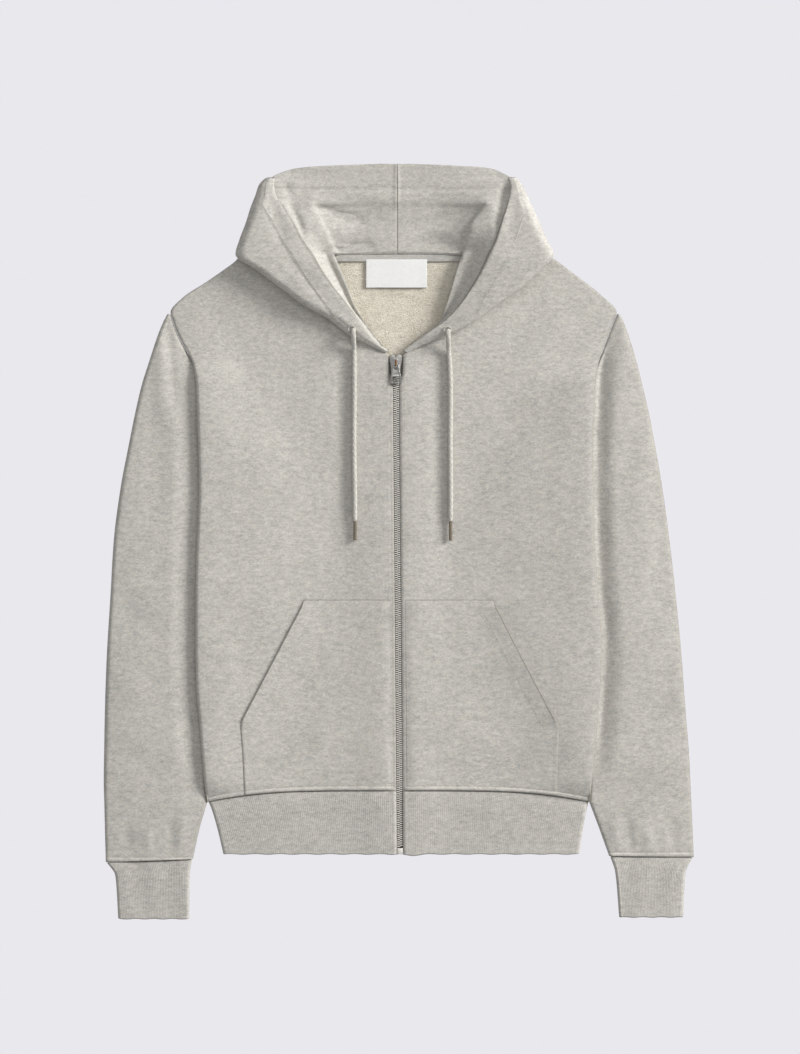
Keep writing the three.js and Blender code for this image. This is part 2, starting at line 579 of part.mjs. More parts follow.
// One hood section read between rows: its line from fold to lining end, and the flap's outer face
function hoodRow(side, t) {
  const table = HOOD[side];
  const i = Math.min(table.length - 2, Math.floor(t));
  const f = t - i;
  const number = (key) => mix(table[i][key], table[i + 1][key], f);
  const point = (key) => [0, 1].map((k) => mix(table[i][key][k], table[i + 1][key][k], f));
  const low = mix(i < OVER_BODY ? FLAP_LOW : 0, i + 1 < OVER_BODY ? FLAP_LOW : 0, f);
  return {
    fold: point("fold"), edge: point("edge"), inner: point("inner"),
    low, roll: number("roll"), hem: number("hem"), sink: number("sink"),
  };
}
const span = (a, b) => Math.hypot(b[0] - a[0], b[1] - a[1]);
function flapLine(row) {
  const width = span(row.fold, row.edge);
  const under = Math.min(HOOD_UNDER, width * 0.5);
  const round = Math.min(HOOD_ROUND, width * 0.45);
  const middle = (row.low + row.roll) / 2;
  const lowRound = Math.min(round, under * 0.7);
  const line = [[under, row.low], [mix(under, lowRound, 0.5), row.low]];
  for (const degrees of [-90, -60, -30, 0, 30, 60, 90]) {
    const a = THREE.MathUtils.degToRad(degrees);
    const rx = degrees < 0 ? lowRound : round;
    const rz = degrees < 0 ? middle - row.low : row.roll - middle;
    line.push([rx * (1 - Math.cos(a)), middle + rz * Math.sin(a)]);
  }
  for (const s of [0.3, 0.6, 0.85, 1]) {
    line.push([mix(round, width, s), mix(row.roll, row.hem, s * s)]);
  }
  return line;
}
// Points along a section: a distance from the fold towards the opening edge
function alongHood(row, [d, z]) {
  const share = d / Math.max(1e-6, span(row.fold, row.edge));
  return [mix(row.fold[0], row.edge[0], share), mix(row.fold[1], row.edge[1], share), z];
}
function hoodOuter(side) {
  const rows = Array.from({ length: FLAP_ROWS }, (_, k) => hoodRow(side, k));
  const lines = rows.map(flapLine);
  return wall(
    lines.map((line, r) => line.map((p) => alongHood(rows[r], p))),
    lines.map((line, r) => offset(line, -CLOTH, false).map((p) => alongHood(rows[r], p))),
  );
}

// Lining: from under the flap's hem down to the neckline, the back neck seam and the centre seam
const LINING_SHARES = [0, 0.16, 0.34, 0.56, 0.8, 1];
function liningPoint(row, share, drop) {
  const shown = span(row.fold, row.edge) > 1;
  const lap = shown ? HOOD_LAP : 0;
  const out = unit(row.edge[0] - row.inner[0], row.edge[1] - row.inner[1]);
  const start = [row.edge[0] + out[0] * lap, row.edge[1] + out[1] * lap];
  const z = mix(row.hem - CLOTH - SEAM_GAP, row.sink, smooth(0, 1, share));
  return [mix(start[0], row.inner[0], share), mix(start[1], row.inner[1], share), z - drop];
}
function hoodLining(side) {
  const lay = (drop) =>
    HOOD[side].map((row) => LINING_SHARES.map((s) => liningPoint(row, s, drop)));
  return wall(lay(0), lay(CLOTH - 0.2));
}

// The hood's hidden layers: one rounded solid a side, under the flap and the lining
const LAYERS_FIRST = 2; // the first hood section wide enough to hold them
const LAYERS_FLOOR = 2.4; // above the back panel
const LAYERS_DROP = 3.7; // top of the layers, below the face of the flap or the lining
const LAYERS_HEM_DROP = 5; // and below the hem, where both lie over them
const FLAP_TOP = 8; // the flap line's point where its fold ends
function layersRow(side, index) {
  const row = hoodRow(side, index);
  const line = flapLine(row);
  const width = span(row.fold, row.edge);
  const flapStart = line[0][0] + 1.8;
  const flapEnd = Math.max(flapStart + 1, width - HOOD_LAP - 1.5);
  const flapHeight = (d) => {
    const k = line.findIndex((p, n) => n > FLAP_TOP && d <= p[0]);
    const t = (d - line[k - 1][0]) / (line[k][0] - line[k - 1][0]);
    return mix(line[k - 1][1], line[k][1], Math.max(0, t));
  };
  const top = [0, 0.5, 1].map((s) => {
    if (index >= FLAP_ROWS) return liningPoint(row, 0.02 + s * 0.05, LAYERS_DROP);
    const d = mix(flapStart, flapEnd, s);
    const underHem = s === 1 || index >= FLAP_ROWS - 2;
    return alongHood(row, [d, underHem ? row.hem - LAYERS_HEM_DROP : flapHeight(d) - LAYERS_DROP]);
  });
  const end = Math.min(1, Math.max(0.55, 0.7 + 0.15 * (index - OVER_BODY + 1)));
  for (const s of LINING_SHARES.slice(1)) top.push(liningPoint(row, s * end, LAYERS_DROP));
  const low = top.map(([x, y]) => [x, y, index < OVER_BODY ? LAYERS_FLOOR : 0]);
  return { top, low };
}
function hoodLayers(side) {
  const rows = HOOD[side].map((_, k) => k).slice(LAYERS_FIRST).map((k) => layersRow(side, k));
  return wall(rows.map((r) => r.top), rows.map((r) => r.low));
}

// Flat pieces on the inside of the back: the neck tape and the blank label
function plate(x0, x1, y0, y1, z0, z1) {
  const geometry = new THREE.BoxGeometry(x1 - x0, y1 - y0, z1 - z0);
  return geometry.translate((x0 + x1) / 2, (y0 + y1) / 2, (z0 + z1) / 2);
}

// Zip tapes lie under the front edges, one on each side of the chain
function zipTape(side) {
  const ys = [-336, -282, -180, -60, 60, 160, 196];
  const lay = (z) =>
    ys.map((y) => [CHAIN_W / 2 + SEAM_GAP, TAPE_OUT].map((d) => [zipX(y) + SIGN[side] * d, y, z]));
  return wall(lay(TAPE_Z[1]), lay(TAPE_Z[0]));
}
function zipChain() {
  const [y0, y1] = CHAIN_Y;
  const lay = (z) =>
    [y0, y1].map((y) => [-1, 1].map((s) => [zipX(y) + (s * CHAIN_W) / 2, y, z]));
  return wall(lay(CHAIN_Z[1]), lay(CHAIN_Z[0]));
}

// Joins closed geometries into one
const wasm = await Module();
wasm.setup();
function solid(geometry) {
  const bare = geometry.clone();
  bare.deleteAttribute("normal");
  bare.deleteAttribute("uv");
  const merged = mergeVertices(bare, 1e-4);
  const vertProperties = new Float32Array(merged.attributes.position.array);
  const triVerts = new Uint32Array(merged.index.array);
  return new wasm.Manifold(new wasm.Mesh({ numProp: 3, vertProperties, triVerts }));
}
function joined(geometries) {
  const whole = geometries.map(solid).reduce((a, b) => a.add(b));
  const mesh = whole.getMesh();
  const geometry = new THREE.BufferGeometry();
  geometry.setAttribute("position", new THREE.BufferAttribute(mesh.vertProperties, 3));
  geometry.setIndex(new THREE.BufferAttribute(mesh.triVerts, 1));
  geometry.computeVertexNormals();
  return geometry;
}
function anticlockwise(points) {
  const line = points.map(([x, y]) => new THREE.Vector2(x, y));
  return THREE.ShapeUtils.isClockWise(line) ? line.reverse() : line;
}
function outline(points, holes = []) {
  const shape = new THREE.Shape(anticlockwise(points));
  shape.holes = holes.map((hole) => new THREE.Path(anticlockwise(hole)));
  return shape;
}
function slab(shape, [z0, z1]) {
  const geometry = new THREE.ExtrudeGeometry(shape, { depth: z1 - z0, bevelEnabled: false });
  return geometry.translate(0, 0, z0);
}

// Slider: two plates on either side of the chain, the post at its top and the bridge for the tab
const SLIDER_OUTLINE = [
  [-4.9, -10], [4.9, -10], [5.3, -3], [6.5, 4], [6.6, 8], [5.2, 10.6], [2.2, 10.6], [0.9, 8.4],
  [-0.9, 8.4], [-2.2, 10.6], [-5.2, 10.6], [-6.6, 8], [-6.5, 4], [-5.3, -3],
];
const BRIDGE = { half: 1.4, from: -4.5, to: 5.5, top: 3.0, leg: 1.5, hole: 2.0 };
function slider() {
  const post = outline([[-1.5, 4.5], [1.5, 4.5], [2.4, 8.2], [-2.4, 8.2]]);
  const b = BRIDGE;
  const arch = outline(
    [
      [b.from, -0.4], [b.to, -0.4], [b.to, 2.0], [b.to - 1.2, b.top], [b.from + 1.2, b.top],
      [b.from, 2.0],
    ],
    [[[b.from + b.leg, 0], [b.to - b.leg, 0], [b.to - b.leg, b.hole], [b.from + b.leg, b.hole]]],
  );
  const bridge = new THREE.ExtrudeGeometry(arch, { depth: 2 * b.half, bevelEnabled: false });
  bridge.translate(0, 0, -b.half).rotateY(Math.PI / 2).rotateX(Math.PI / 2);
  bridge.translate(0, 0, PLATE_HIGH[1]);
  const shape = outline(SLIDER_OUTLINE);
  return joined([
    slab(shape, PLATE_LOW),
    slab(shape, PLATE_HIGH),
    slab(post, [PLATE_LOW[1] - 0.2, PLATE_HIGH[0] + 0.2]),
    bridge,
  ]);
}

// Pull tab: a flared plate, a crossbar under the bridge and a window near its end
function pullTab() {
  const bar = 0.6; // half the crossbar's width
  const tab = outline(
    [
      [-3.5, bar], [3.5, bar], [4.1, -7], [5.8, -12.6], [5.8, -TAB_LENGTH], [-5.8, -TAB_LENGTH],
      [-5.8, -12.6], [-4.1, -7],
    ],
    [
      [[-1.9, -bar], [1.9, -bar], [1.9, -6.4], [-1.9, -6.4]],
      [[-3.7, -14], [3.7, -14], [3.7, -TAB_LENGTH + 1.7], [-3.7, -TAB_LENGTH + 1.7]],
    ],
  );
  return slab(tab, [-TAB_T / 2, TAB_T / 2]);
}

// Eyelets lie on the flap's outer face, turned to its slope
function flapPoint(side, t, along) {
  const row = hoodRow(side, t);
  const line = flapLine(row);
  for (let k = 9; k < line.length; k++) {
    if (along <= line[k][0]) {
      const f = (along - line[k - 1][0]) / (line[k][0] - line[k - 1][0]);
      return new THREE.Vector3(...alongHood(row, [along, mix(line[k - 1][1], line[k][1], f)]));
    }
  }
  return new THREE.Vector3(...alongHood(row, line[line.length - 1]));
}
function eyelet(side) {
  const { row, along } = EYELET[side];
  const middle = flapPoint(side, row, along);
  const across = flapPoint(side, row, along + 3).sub(flapPoint(side, row, along - 1));
  const up = flapPoint(side, row + 0.2, along).sub(flapPoint(side, row - 0.2, along));
  const normal = across.cross(up).normalize();
  if (normal.z < 0) normal.negate();
  const profile = [
    [EYELET_HOLE, 0], [EYELET_R, 0], [EYELET_R, EYELET_H * 0.5], [EYELET_R - 0.5, EYELET_H],
    [EYELET_HOLE + 0.3, EYELET_H], [EYELET_HOLE, EYELET_H * 0.5], [EYELET_HOLE, 0],
  ];
  const ring = new THREE.LatheGeometry(profile.map(([x, y]) => new THREE.Vector2(x, y)), 14);
  const turn = new THREE.Quaternion().setFromUnitVectors(new THREE.Vector3(0, 1, 0), normal);
  ring.applyQuaternion(turn);
  const place = middle.addScaledVector(normal, 0.75);
  return ring.translate(place.x, place.y, place.z);
}

// Drawcord: a round tube along its route, and the metal aglet in line with its end
function drawcord(side) {
  const curve = new THREE.CatmullRomCurve3(CORD_ROUTE[side].map((p) => new THREE.Vector3(...p)));
  const section = Array.from({ length: CORD_SIDES }, (_, k) => {
    const a = (2 * Math.PI * k) / CORD_SIDES;
    return [(CORD_D / 2) * Math.cos(a), (CORD_D / 2) * Math.sin(a)];
  });
  return new THREE.ExtrudeGeometry(outline(section), {
    steps: CORD_STEPS, bevelEnabled: false, extrudePath: curve,
  });
}
function aglet(side) {
  const [x, y, z] = CORD_ROUTE[side][CORD_ROUTE[side].length - 1];
  const tube = new THREE.CylinderGeometry(AGLET_D / 2, AGLET_D / 2, AGLET_LENGTH, 12);
  return tube.translate(x, y - SEAM_GAP - AGLET_LENGTH / 2, z);
}

// The garment
const group = new THREE.Group();
group.name = "zip_up_hoodie";
function add(name, geometry, finish) {
  const mesh = new THREE.Mesh(geometry, new THREE.MeshStandardMaterial(MATERIALS[finish]));
  mesh.name = name;
  group.add(mesh);
  return mesh;
}
add("back", back(), "fleece");
add("waistband", waistband(), "rib");
for (const side of SIDES) {
  add(`front_${side}`, front(side), "fleece");
  add(`pocket_${side}`, pocket(side), "fleece");
  add(`sleeve_${side}`, sleeve(side), "fleece");
  add(`cuff_${side}`, cuff(side), "rib");
  add(`hood_outer_${side}`, hoodOuter(side), "fleece");
  add(`hood_lining_${side}`, hoodLining(side), "lining");
  add(`hood_layers_${side}`, hoodLayers(side), "lining");
  add(`zip_tape_${side}`, zipTape(side), "fleece");
  add(`eyelet_${side}`, eyelet(side), "cord");
  add(`drawcord_${side}`, drawcord(side), "cord");
  add(`aglet_${side}`, aglet(side), "metal");
}
add("neck_tape", plate(-65, 62, 305.4, 312.2, CLOTH + 0.3, CLOTH + 1.1), "fleece");
add("label", plate(-35.8, 31.4, 278.3, 309.6, CLOTH + 1.4, CLOTH + 1.9), "label");
add("zip_chain", zipChain(), "metal");
add("zip_stop", plate(-1.4, 4.7, -344, -337.4, 3.6, 7.4), "metal");
const sliderMesh = add("zip_slider", slider(), "metal");
sliderMesh.position.set(zipX(SLIDER_Y), SLIDER_Y, 0);
const tabMesh = add("pull_tab", pullTab(), "metal");
tabMesh.position.set(zipX(SLIDER_Y), SLIDER_Y, PIN_Z);

export default group;
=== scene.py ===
# %% [markdown]
# # A zip up hoodie, laid flat
# The garment lies face up on a pale table and the camera looks straight down on it. The packed
# model holds every piece as a plain wall of cloth. Here each cloth piece is made again as a fine
# grid of points on the same form, so that folds, seams and ribs can be put in, and the
# hard pieces get their metal.

import json
import math

import bpy
import numpy as np
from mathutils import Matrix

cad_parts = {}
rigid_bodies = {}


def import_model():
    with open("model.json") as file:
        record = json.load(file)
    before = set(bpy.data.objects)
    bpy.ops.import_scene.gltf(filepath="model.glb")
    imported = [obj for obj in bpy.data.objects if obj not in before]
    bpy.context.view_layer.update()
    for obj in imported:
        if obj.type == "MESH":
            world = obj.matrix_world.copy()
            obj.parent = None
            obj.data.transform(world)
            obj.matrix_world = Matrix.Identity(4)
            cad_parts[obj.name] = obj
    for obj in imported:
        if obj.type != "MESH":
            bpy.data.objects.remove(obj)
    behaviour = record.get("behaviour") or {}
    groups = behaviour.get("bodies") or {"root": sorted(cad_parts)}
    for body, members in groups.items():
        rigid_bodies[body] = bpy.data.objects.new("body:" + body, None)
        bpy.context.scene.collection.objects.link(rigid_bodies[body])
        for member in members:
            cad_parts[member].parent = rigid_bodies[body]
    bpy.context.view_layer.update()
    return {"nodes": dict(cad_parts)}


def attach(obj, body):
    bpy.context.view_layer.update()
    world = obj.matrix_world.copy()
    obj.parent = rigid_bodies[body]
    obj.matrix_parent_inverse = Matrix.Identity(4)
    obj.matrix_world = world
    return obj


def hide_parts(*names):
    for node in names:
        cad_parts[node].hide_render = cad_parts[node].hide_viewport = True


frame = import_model()
MM = 0.001
SIGN = {"right": -1.0, "left": 1.0}
SIDES = ("right", "left")


def deselect():
    bpy.ops.object.select_all(action="DESELECT")


def new_piece(name, mesh):
    """A new object with this mesh, the only one that is selected."""
    piece = bpy.data.objects.new(name, mesh)
    bpy.context.collection.objects.link(piece)
    deselect()
    piece.select_set(True)
    bpy.context.view_layer.objects.active = piece
    return piece


def turn_outward(merge=0.0):
    """Turn the faces of the active piece outward. merge joins points that close, in metres."""
    bpy.ops.object.mode_set(mode="EDIT")
    bpy.ops.mesh.select_all(action="SELECT")
    if merge:
        bpy.ops.mesh.remove_doubles(threshold=merge)
    bpy.ops.mesh.normals_make_consistent(inside=False)
    bpy.ops.object.mode_set(mode="OBJECT")


def settle(piece, node, body="garment"):
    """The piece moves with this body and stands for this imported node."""
    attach(piece, body)
    if node:
        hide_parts(node)


def refinish(node, finish):
    """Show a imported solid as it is, in this finish."""
    materials = frame["nodes"][node].data.materials
    materials.clear()
    materials.append(finish)


# %% [markdown]
# ## Camera
# The photograph is taken from straight above with a long lens, so the camera hangs high over the
# middle of the picture. One pixel of the photograph is 1.1 mm on the table.

# %% Camera
PIXEL = 1.10
PICTURE_HEIGHT = 1054
AIM = (1.65, 15.4)
CAMERA_HEIGHT = 5.0
SENSOR = 36.0
deselect()
bpy.ops.object.camera_add(
    location=(AIM[0] * MM, AIM[1] * MM, CAMERA_HEIGHT), rotation=(0, 0, 0)
)
camera = bpy.context.object
camera.name = "straight_down"
camera.data.sensor_fit = "VERTICAL"
camera.data.sensor_height = SENSOR
camera.data.lens = SENSOR * CAMERA_HEIGHT / (PICTURE_HEIGHT * PIXEL * MM)
bpy.context.scene.camera = camera
print("lens in millimetres:", round(camera.data.lens, 1))

# %% [markdown]
# ## Small sums
# Tables hold the garment's outline, one row a section. They are read through a smooth curve that
# never swings past its rows, because a straight reading would leave corners in the outline.


# %% Tables and smooth readings
def table(columns, rows):
    values = np.array(sorted(rows), dtype=float)
    return {name: values[:, k] for k, name in enumerate(columns)}


def smoothstep(low, high, value):
    t = np.clip((np.asarray(value, dtype=float) - low) / (high - low), 0, 1)
    return t * t * (3 - 2 * t)


def bell(value, middle, width):
    """1 at the middle, and fading out on both sides within about twice the width."""
    return np.exp(-(((value - middle) / width) ** 2))


def through(xs, ys, x):
    """A smooth curve through the points, read at x. It keeps between neighbouring points."""
    xs, ys = np.asarray(xs, float), np.asarray(ys, float)
    x = np.clip(np.asarray(x, dtype=float), xs[0], xs[-1])
    step = np.diff(xs)
    slope = np.diff(ys) / step
    lean = np.zeros_like(ys)
    same = slope[:-1] * slope[1:] > 0
    total = np.where(same, slope[:-1] + slope[1:], 1.0)
    lean[1:-1] = np.where(same, 2 * slope[:-1] * slope[1:] / total, 0.0)
    lean[0], lean[-1] = slope[0], slope[-1]
    i = np.clip(np.searchsorted(xs, x) - 1, 0, len(xs) - 2)
    t = (x - xs[i]) / step[i]
    return (
        ys[i] * (1 + 2 * t) * (1 - t) ** 2
        + step[i] * lean[i] * t * (1 - t) ** 2
        + ys[i + 1] * t**2 * (3 - 2 * t)
        + step[i] * lean[i + 1] * t**2 * (t - 1)
    )


def read_rows(rows, y):
    """The columns after the first one, each read at this value of the first."""
    return [float(through(rows[:, 0], rows[:, k], y)) for k in range(1, rows.shape[1])]


def spaced(low, high, step, fine=(0.0, 0.6, 1.4, 2.6)):
    """Values from low to high, with a few close together at both ends for a rounded rim."""
    fine = np.array(fine)
    count = max(2, int(round((high - low - 2 * fine[-1]) / step)))
    middle = np.linspace(low + fine[-1], high - fine[-1], count + 1)
    return np.concatenate([low + fine[:-1], middle, (high - fine[:-1])[::-1]])


# %% Outline of the body and the sleeves, in millimetres
SEAM_Y, SEAM_DROP, SEAM_HALF = -274.6, 12.4, 209.0
HEM_Y, NECK_Y = -344.3, 312.6
CLOTH, RIB_CLOTH, JOIN = 2.0, 2.4, 0.1
FRONT_TOP, BAND_TOP, SLEEVE_TOP, TUCKED_TOP, FOREARM_TOP = 5.8, 6.2, 7.8, 5.4, 7.4
BODY_LIFT, LIFT_RUN, DRAPE_RUN = 5.8, 32.0, 104.0
SIDE_PUFF, PUFF_RUN, SIDE_ROUND, ZIP_RISE = 2.2, 55.0, 4.0, 1.9
ZIP_X0, ZIP_Y0, ZIP_LEAN = -2.75, 171.6, 0.0086
BODY = table(
    ("y", "right", "left", "lift"),
    [
        (-287, 209.0, 208.5, 0), (-262, 212.9, 211.8, 1), (-235, 216.0, 215.1, 1),
        (-200, 218.8, 218.4, 1), (-155, 222.4, 221.7, 1), (-110, 223.3, 223.2, 1),
        (-50, 223.0, 218.8, 1), (0, 221.6, 215.0, 1), (60, 219.3, 214.0, 1),
        (105, 220.2, 213.0, 1), (140, 221.3, 215.1, 1), (172, 222.5, 216.5, 1),
        (193, 226.0, 219.4, 0.5), (206, 231.5, 223.5, 0.15), (227, 242.6, 231.5, 0),
        (243, 248.6, 237.5, 0), (251, 251.0, 240.3, 0), (268, 236.8, 225.6, 0),
        (285, 211.0, 204.5, 0), (299, 191.0, 186.0, 0), (306, 181.5, 177.0, 0),
        (NECK_Y, 175.0, 167.0, 0),
    ],
)
FRONT_EDGE = table(
    ("y", "right", "left"),
    [
        (-287, 3.4, 3.4), (172, 3.4, 3.4), (184, 7.4, 7.4), (206, 8.2, 8.2), (212, 20, 18),
        (218, 31, 32), (227, 46, 57), (243, 66, 79), (258, 93, 99), (272, 111, 122),
        (287, 131, 140), (299, 148, 150), (305, 156, 153), (NECK_Y, 163, 156),
    ],
)
SLEEVE = table(
    ("y", "right", "left", "over"),
    [
        (249.6, 254.0, 243.2, -0.2), (243, 257.6, 246.7, -0.2), (227, 264.3, 252.6, -0.2),
        (206, 271.3, 259.2, -0.2), (193, 275.5, 262.8, 1.5), (172, 282.1, 268.0, 6.0),
        (140, 289.6, 275.4, 16), (105, 296.6, 282.0, 30), (60, 305.2, 289.8, 42),
        (0, 313.0, 298.0, 48), (-60, 316.6, 304.8, 46), (-130, 320.8, 311.4, 34),
        (-190, 322.8, 315.9, 18), (-235, 323.6, 319.4, 6), (-262, 324.0, 320.7, 1.2),
        (-276, 323.8, 321.4, -0.2), (-287, 323.4, 321.9, -1.2),
    ],
)
print("body is", 2 * BODY["right"].max(), "mm wide at the armholes")


# %% Heights of the front panels
def zip_x(y):
    return ZIP_X0 + (ZIP_Y0 - np.asarray(y, dtype=float)) * ZIP_LEAN


def seam_y(x):
    return SEAM_Y - SEAM_DROP * np.minimum(1, np.abs(x) / SEAM_HALF) ** 4


def body_edge(side, y):
    return through(BODY["y"], BODY[side], y)


def sleeve_lap(y):
    return np.interp(y, SLEEVE["y"], SLEEVE["over"])


def zip_rise(x, y):
    across = 1 - smoothstep(10, 62, np.abs(x - zip_x(y)))
    return ZIP_RISE * across * (1 - smoothstep(203, 212, y))


def lifted(side, x, y, start, run):
    """How high the sleeve carries the body. It starts to come down past the sleeve's lap."""
    lift = through(BODY["y"], BODY["lift"], y)
    lap = np.maximum(0, sleeve_lap(y))
    from_edge = body_edge(side, y) - np.abs(x)
    return BODY_LIFT * lift * (1 - smoothstep(lap + start, lap + run, from_edge))


def front_lift(side, x, y):
    """The front drapes over the sleeve below it, and comes down more slowly than the back."""
    return lifted(side, x, y, -4, DRAPE_RUN)


def body_lift(side, x, y):
    return lifted(side, x, y, 6, LIFT_RUN)


def side_puff(side, x, y):
    lift = through(BODY["y"], BODY["lift"], y)
    from_edge = body_edge(side, y) - np.abs(x)
    return SIDE_PUFF * lift * (1 - smoothstep(8, PUFF_RUN, from_edge))


# %% [markdown]
# ## Folds
# Fleece is thick and falls into a few long, soft troughs. Each is one row of a table: its two
# ends, its width, its depth (a ridge has a positive one). A little slow waviness goes on top, so
# that no part of the cloth is a flat plate.

# %% Folds
# each row: the x and y of one end, the x and y of the other, width, depth
FRONT_FOLDS = [
    # wearer's right front: from the armhole, under the hood and beside the cord
    (-196, 246, -150, 150, 16, -0.7), (-226, 214, -186, 236, 9, 0.6),
    (-170, 262, -120, 232, 12, -0.8), (-64, 214, -62, 20, 6, -0.9),
    (-66, 60, -76, -40, 14, -0.4), (-206, 120, -196, 20, 10, -0.5),
    (-150, 110, -118, 40, 26, 0.7), (-118, -10, -170, -60, 24, -0.6),
    (-196, -110, -168, -210, 14, 0.6), (-188, -236, -120, -250, 10, -0.4),
    (-90, 180, -98, 110, 20, 0.4),
    # wearer's left front
    (196, 232, 160, 150, 18, -0.7), (214, 212, 178, 232, 9, 0.6),
    (160, 258, 112, 226, 12, -0.7), (42, 212, 44, 18, 6, -0.9),
    (46, 60, 60, -44, 14, -0.4), (196, 120, 190, 20, 10, -0.5),
    (140, 100, 104, 30, 26, 0.6), (110, -14, 160, -70, 24, -0.6),
    (190, -120, 172, -206, 14, 0.5), (186, -236, 124, -250, 10, -0.4),
    (92, 176, 88, 96, 20, 0.4),
    # over and on the pockets
    (-60, -100, -110, -160, 18, -0.5), (-40, -190, -120, -230, 18, 0.5),
    (52, -110, 96, -170, 18, -0.5), (44, -200, 130, -232, 18, 0.5),
    (-150, -84, -124, -60, 12, 0.5), (140, -96, 118, -66, 12, 0.5),
]
SLEEVE_FOLDS = [
    # wearer's right sleeve, from the shoulder to the cuff
    (-254, 236, -246, 150, 6, -1.5), (-262, 214, -258, 130, 8, 0.9),
    (-268, 140, -262, 30, 14, -0.9), (-300, 60, -286, -60, 16, 0.8),
    (-306, -70, -262, -104, 18, -1.0), (-312, -140, -270, -180, 16, 0.9),
    (-316, -228, -262, -252, 14, -1.0), (-300, -312, -296, -342, 7, -0.9),
    (-276, -318, -272, -344, 6, 0.8), (-252, -306, -250, -342, 6, -0.9),
    (-236, -300, -240, -340, 5, 0.6),
    # wearer's left sleeve: first the deep valley beside the body
    (223, 206, 219, 60, 9, -2.8), (219, 60, 223, -50, 9, -2.7),
    (223, -50, 228, -112, 9, -2.3), (228, -112, 220, -232, 9, -1.5),
    (270, 130, 266, 20, 16, 0.9), (296, 40, 282, -70, 14, -0.8),
    (304, -90, 262, -120, 18, 0.9), (308, -160, 268, -204, 16, -1.0),
    (312, -240, 262, -262, 14, 0.8), (300, -306, 304, -340, 7, -0.9),
    (272, -312, 276, -340, 6, 0.8), (250, -300, 256, -340, 6, -0.9),
    (234, -296, 240, -338, 5, 0.6),
]


def folds(rows, x, y):
    total = np.zeros(np.broadcast(x, y).shape)
    for x0, y0, x1, y1, width, depth in rows:
        dx, dy = x1 - x0, y1 - y0
        t = np.clip(((x - x0) * dx + (y - y0) * dy) / (dx * dx + dy * dy), 0, 1)
        gap = np.hypot(x - x0 - t * dx, y - y0 - t * dy)
        fade = np.sqrt(np.maximum(0, 4 * t * (1 - t))) * 0.7 + 0.3
        total = total + depth * fade * bell(gap, 0, width)
    return total


# each row: waves along x, waves along y, phase, height
WAVES = [
    (0.031, 0.012, 0.4, 0.22), (0.017, -0.027, 1.9, 0.25), (0.052, 0.019, 2.7, 0.12),
    (-0.041, 0.047, 0.9, 0.11), (0.083, -0.021, 4.1, 0.06), (0.024, 0.071, 5.2, 0.07),
]


def waves(x, y):
    """A slow unevenness of a few tenths of a millimetre."""
    bend = 6 * np.sin(0.013 * y + 0.7) + 5 * np.sin(0.021 * x)
    total = np.zeros(np.broadcast(x, y).shape)
    for along_x, along_y, phase, height in WAVES:
        total = total + height * np.sin(along_x * (x + bend) + along_y * (y - bend) + phase)
    return total


STRIP = 4.4  # width of the seam allowance that is stitched down beside a rib seam
NEAR_SEAM = (0.0, 0.5, 1.2, 2.0, 3.0, 3.8, 4.4, 5.0, 5.8, 7.4)


def strip(distance):
    """The raised strip beside a rib seam: up at once, and down again behind its stitching."""
    up = smoothstep(-0.2, 1.6, distance) * (1 - smoothstep(STRIP - 1.2, STRIP + 0.8, distance))
    return 0.8 * up - 0.35 * bell(distance, STRIP + 0.5, 0.8)


def front_top(side, x, y):
    height = FRONT_TOP + front_lift(side, x, y) + side_puff(side, x, y) + zip_rise(x, y)
    calm = smoothstep(2, 30, y - seam_y(x)) * smoothstep(4, 16, np.abs(x - zip_x(y)))
    height = height + calm * (folds(FRONT_FOLDS, x, y) + 0.8 * waves(x, y))
    return height + strip(y - seam_y(x)) * smoothstep(4.5, 7, np.abs(x - zip_x(y)))


print("folds:", len(FRONT_FOLDS), "on the fronts,", len(SLEEVE_FOLDS), "on the sleeves")

# %% [markdown]
# ## Walls of cloth
# A piece of cloth is two grids of points a wall apart, joined round their rims. The outer grid
# carries the form; the inner one is found by moving each section's line along its own normals.
# The rims are drawn together a little, so that the smooth shading rolls over them.


# %% Wall builder
def normals_of(line, ring):
    if ring:
        ahead, behind = np.roll(line, -1, axis=1), np.roll(line, 1, axis=1)
    else:
        ahead = np.concatenate([line[:, 1:], line[:, -1:]], axis=1)
        behind = np.concatenate([line[:, :1], line[:, :-1]], axis=1)
    along = ahead - behind
    along /= np.maximum(1e-9, np.linalg.norm(along, axis=2, keepdims=True))
    return np.stack([-along[..., 1], along[..., 0]], axis=2)


def moved(line, distance, ring=False):
    """Sections of (x, z) points, moved sideways by a distance."""
    return line + normals_of(line, ring) * distance


# painted shade: how much of a rim's painted dark line the points beside it get
NEXT_TO_RIM = 0.75  # share of a rim's dark line on the points beside it


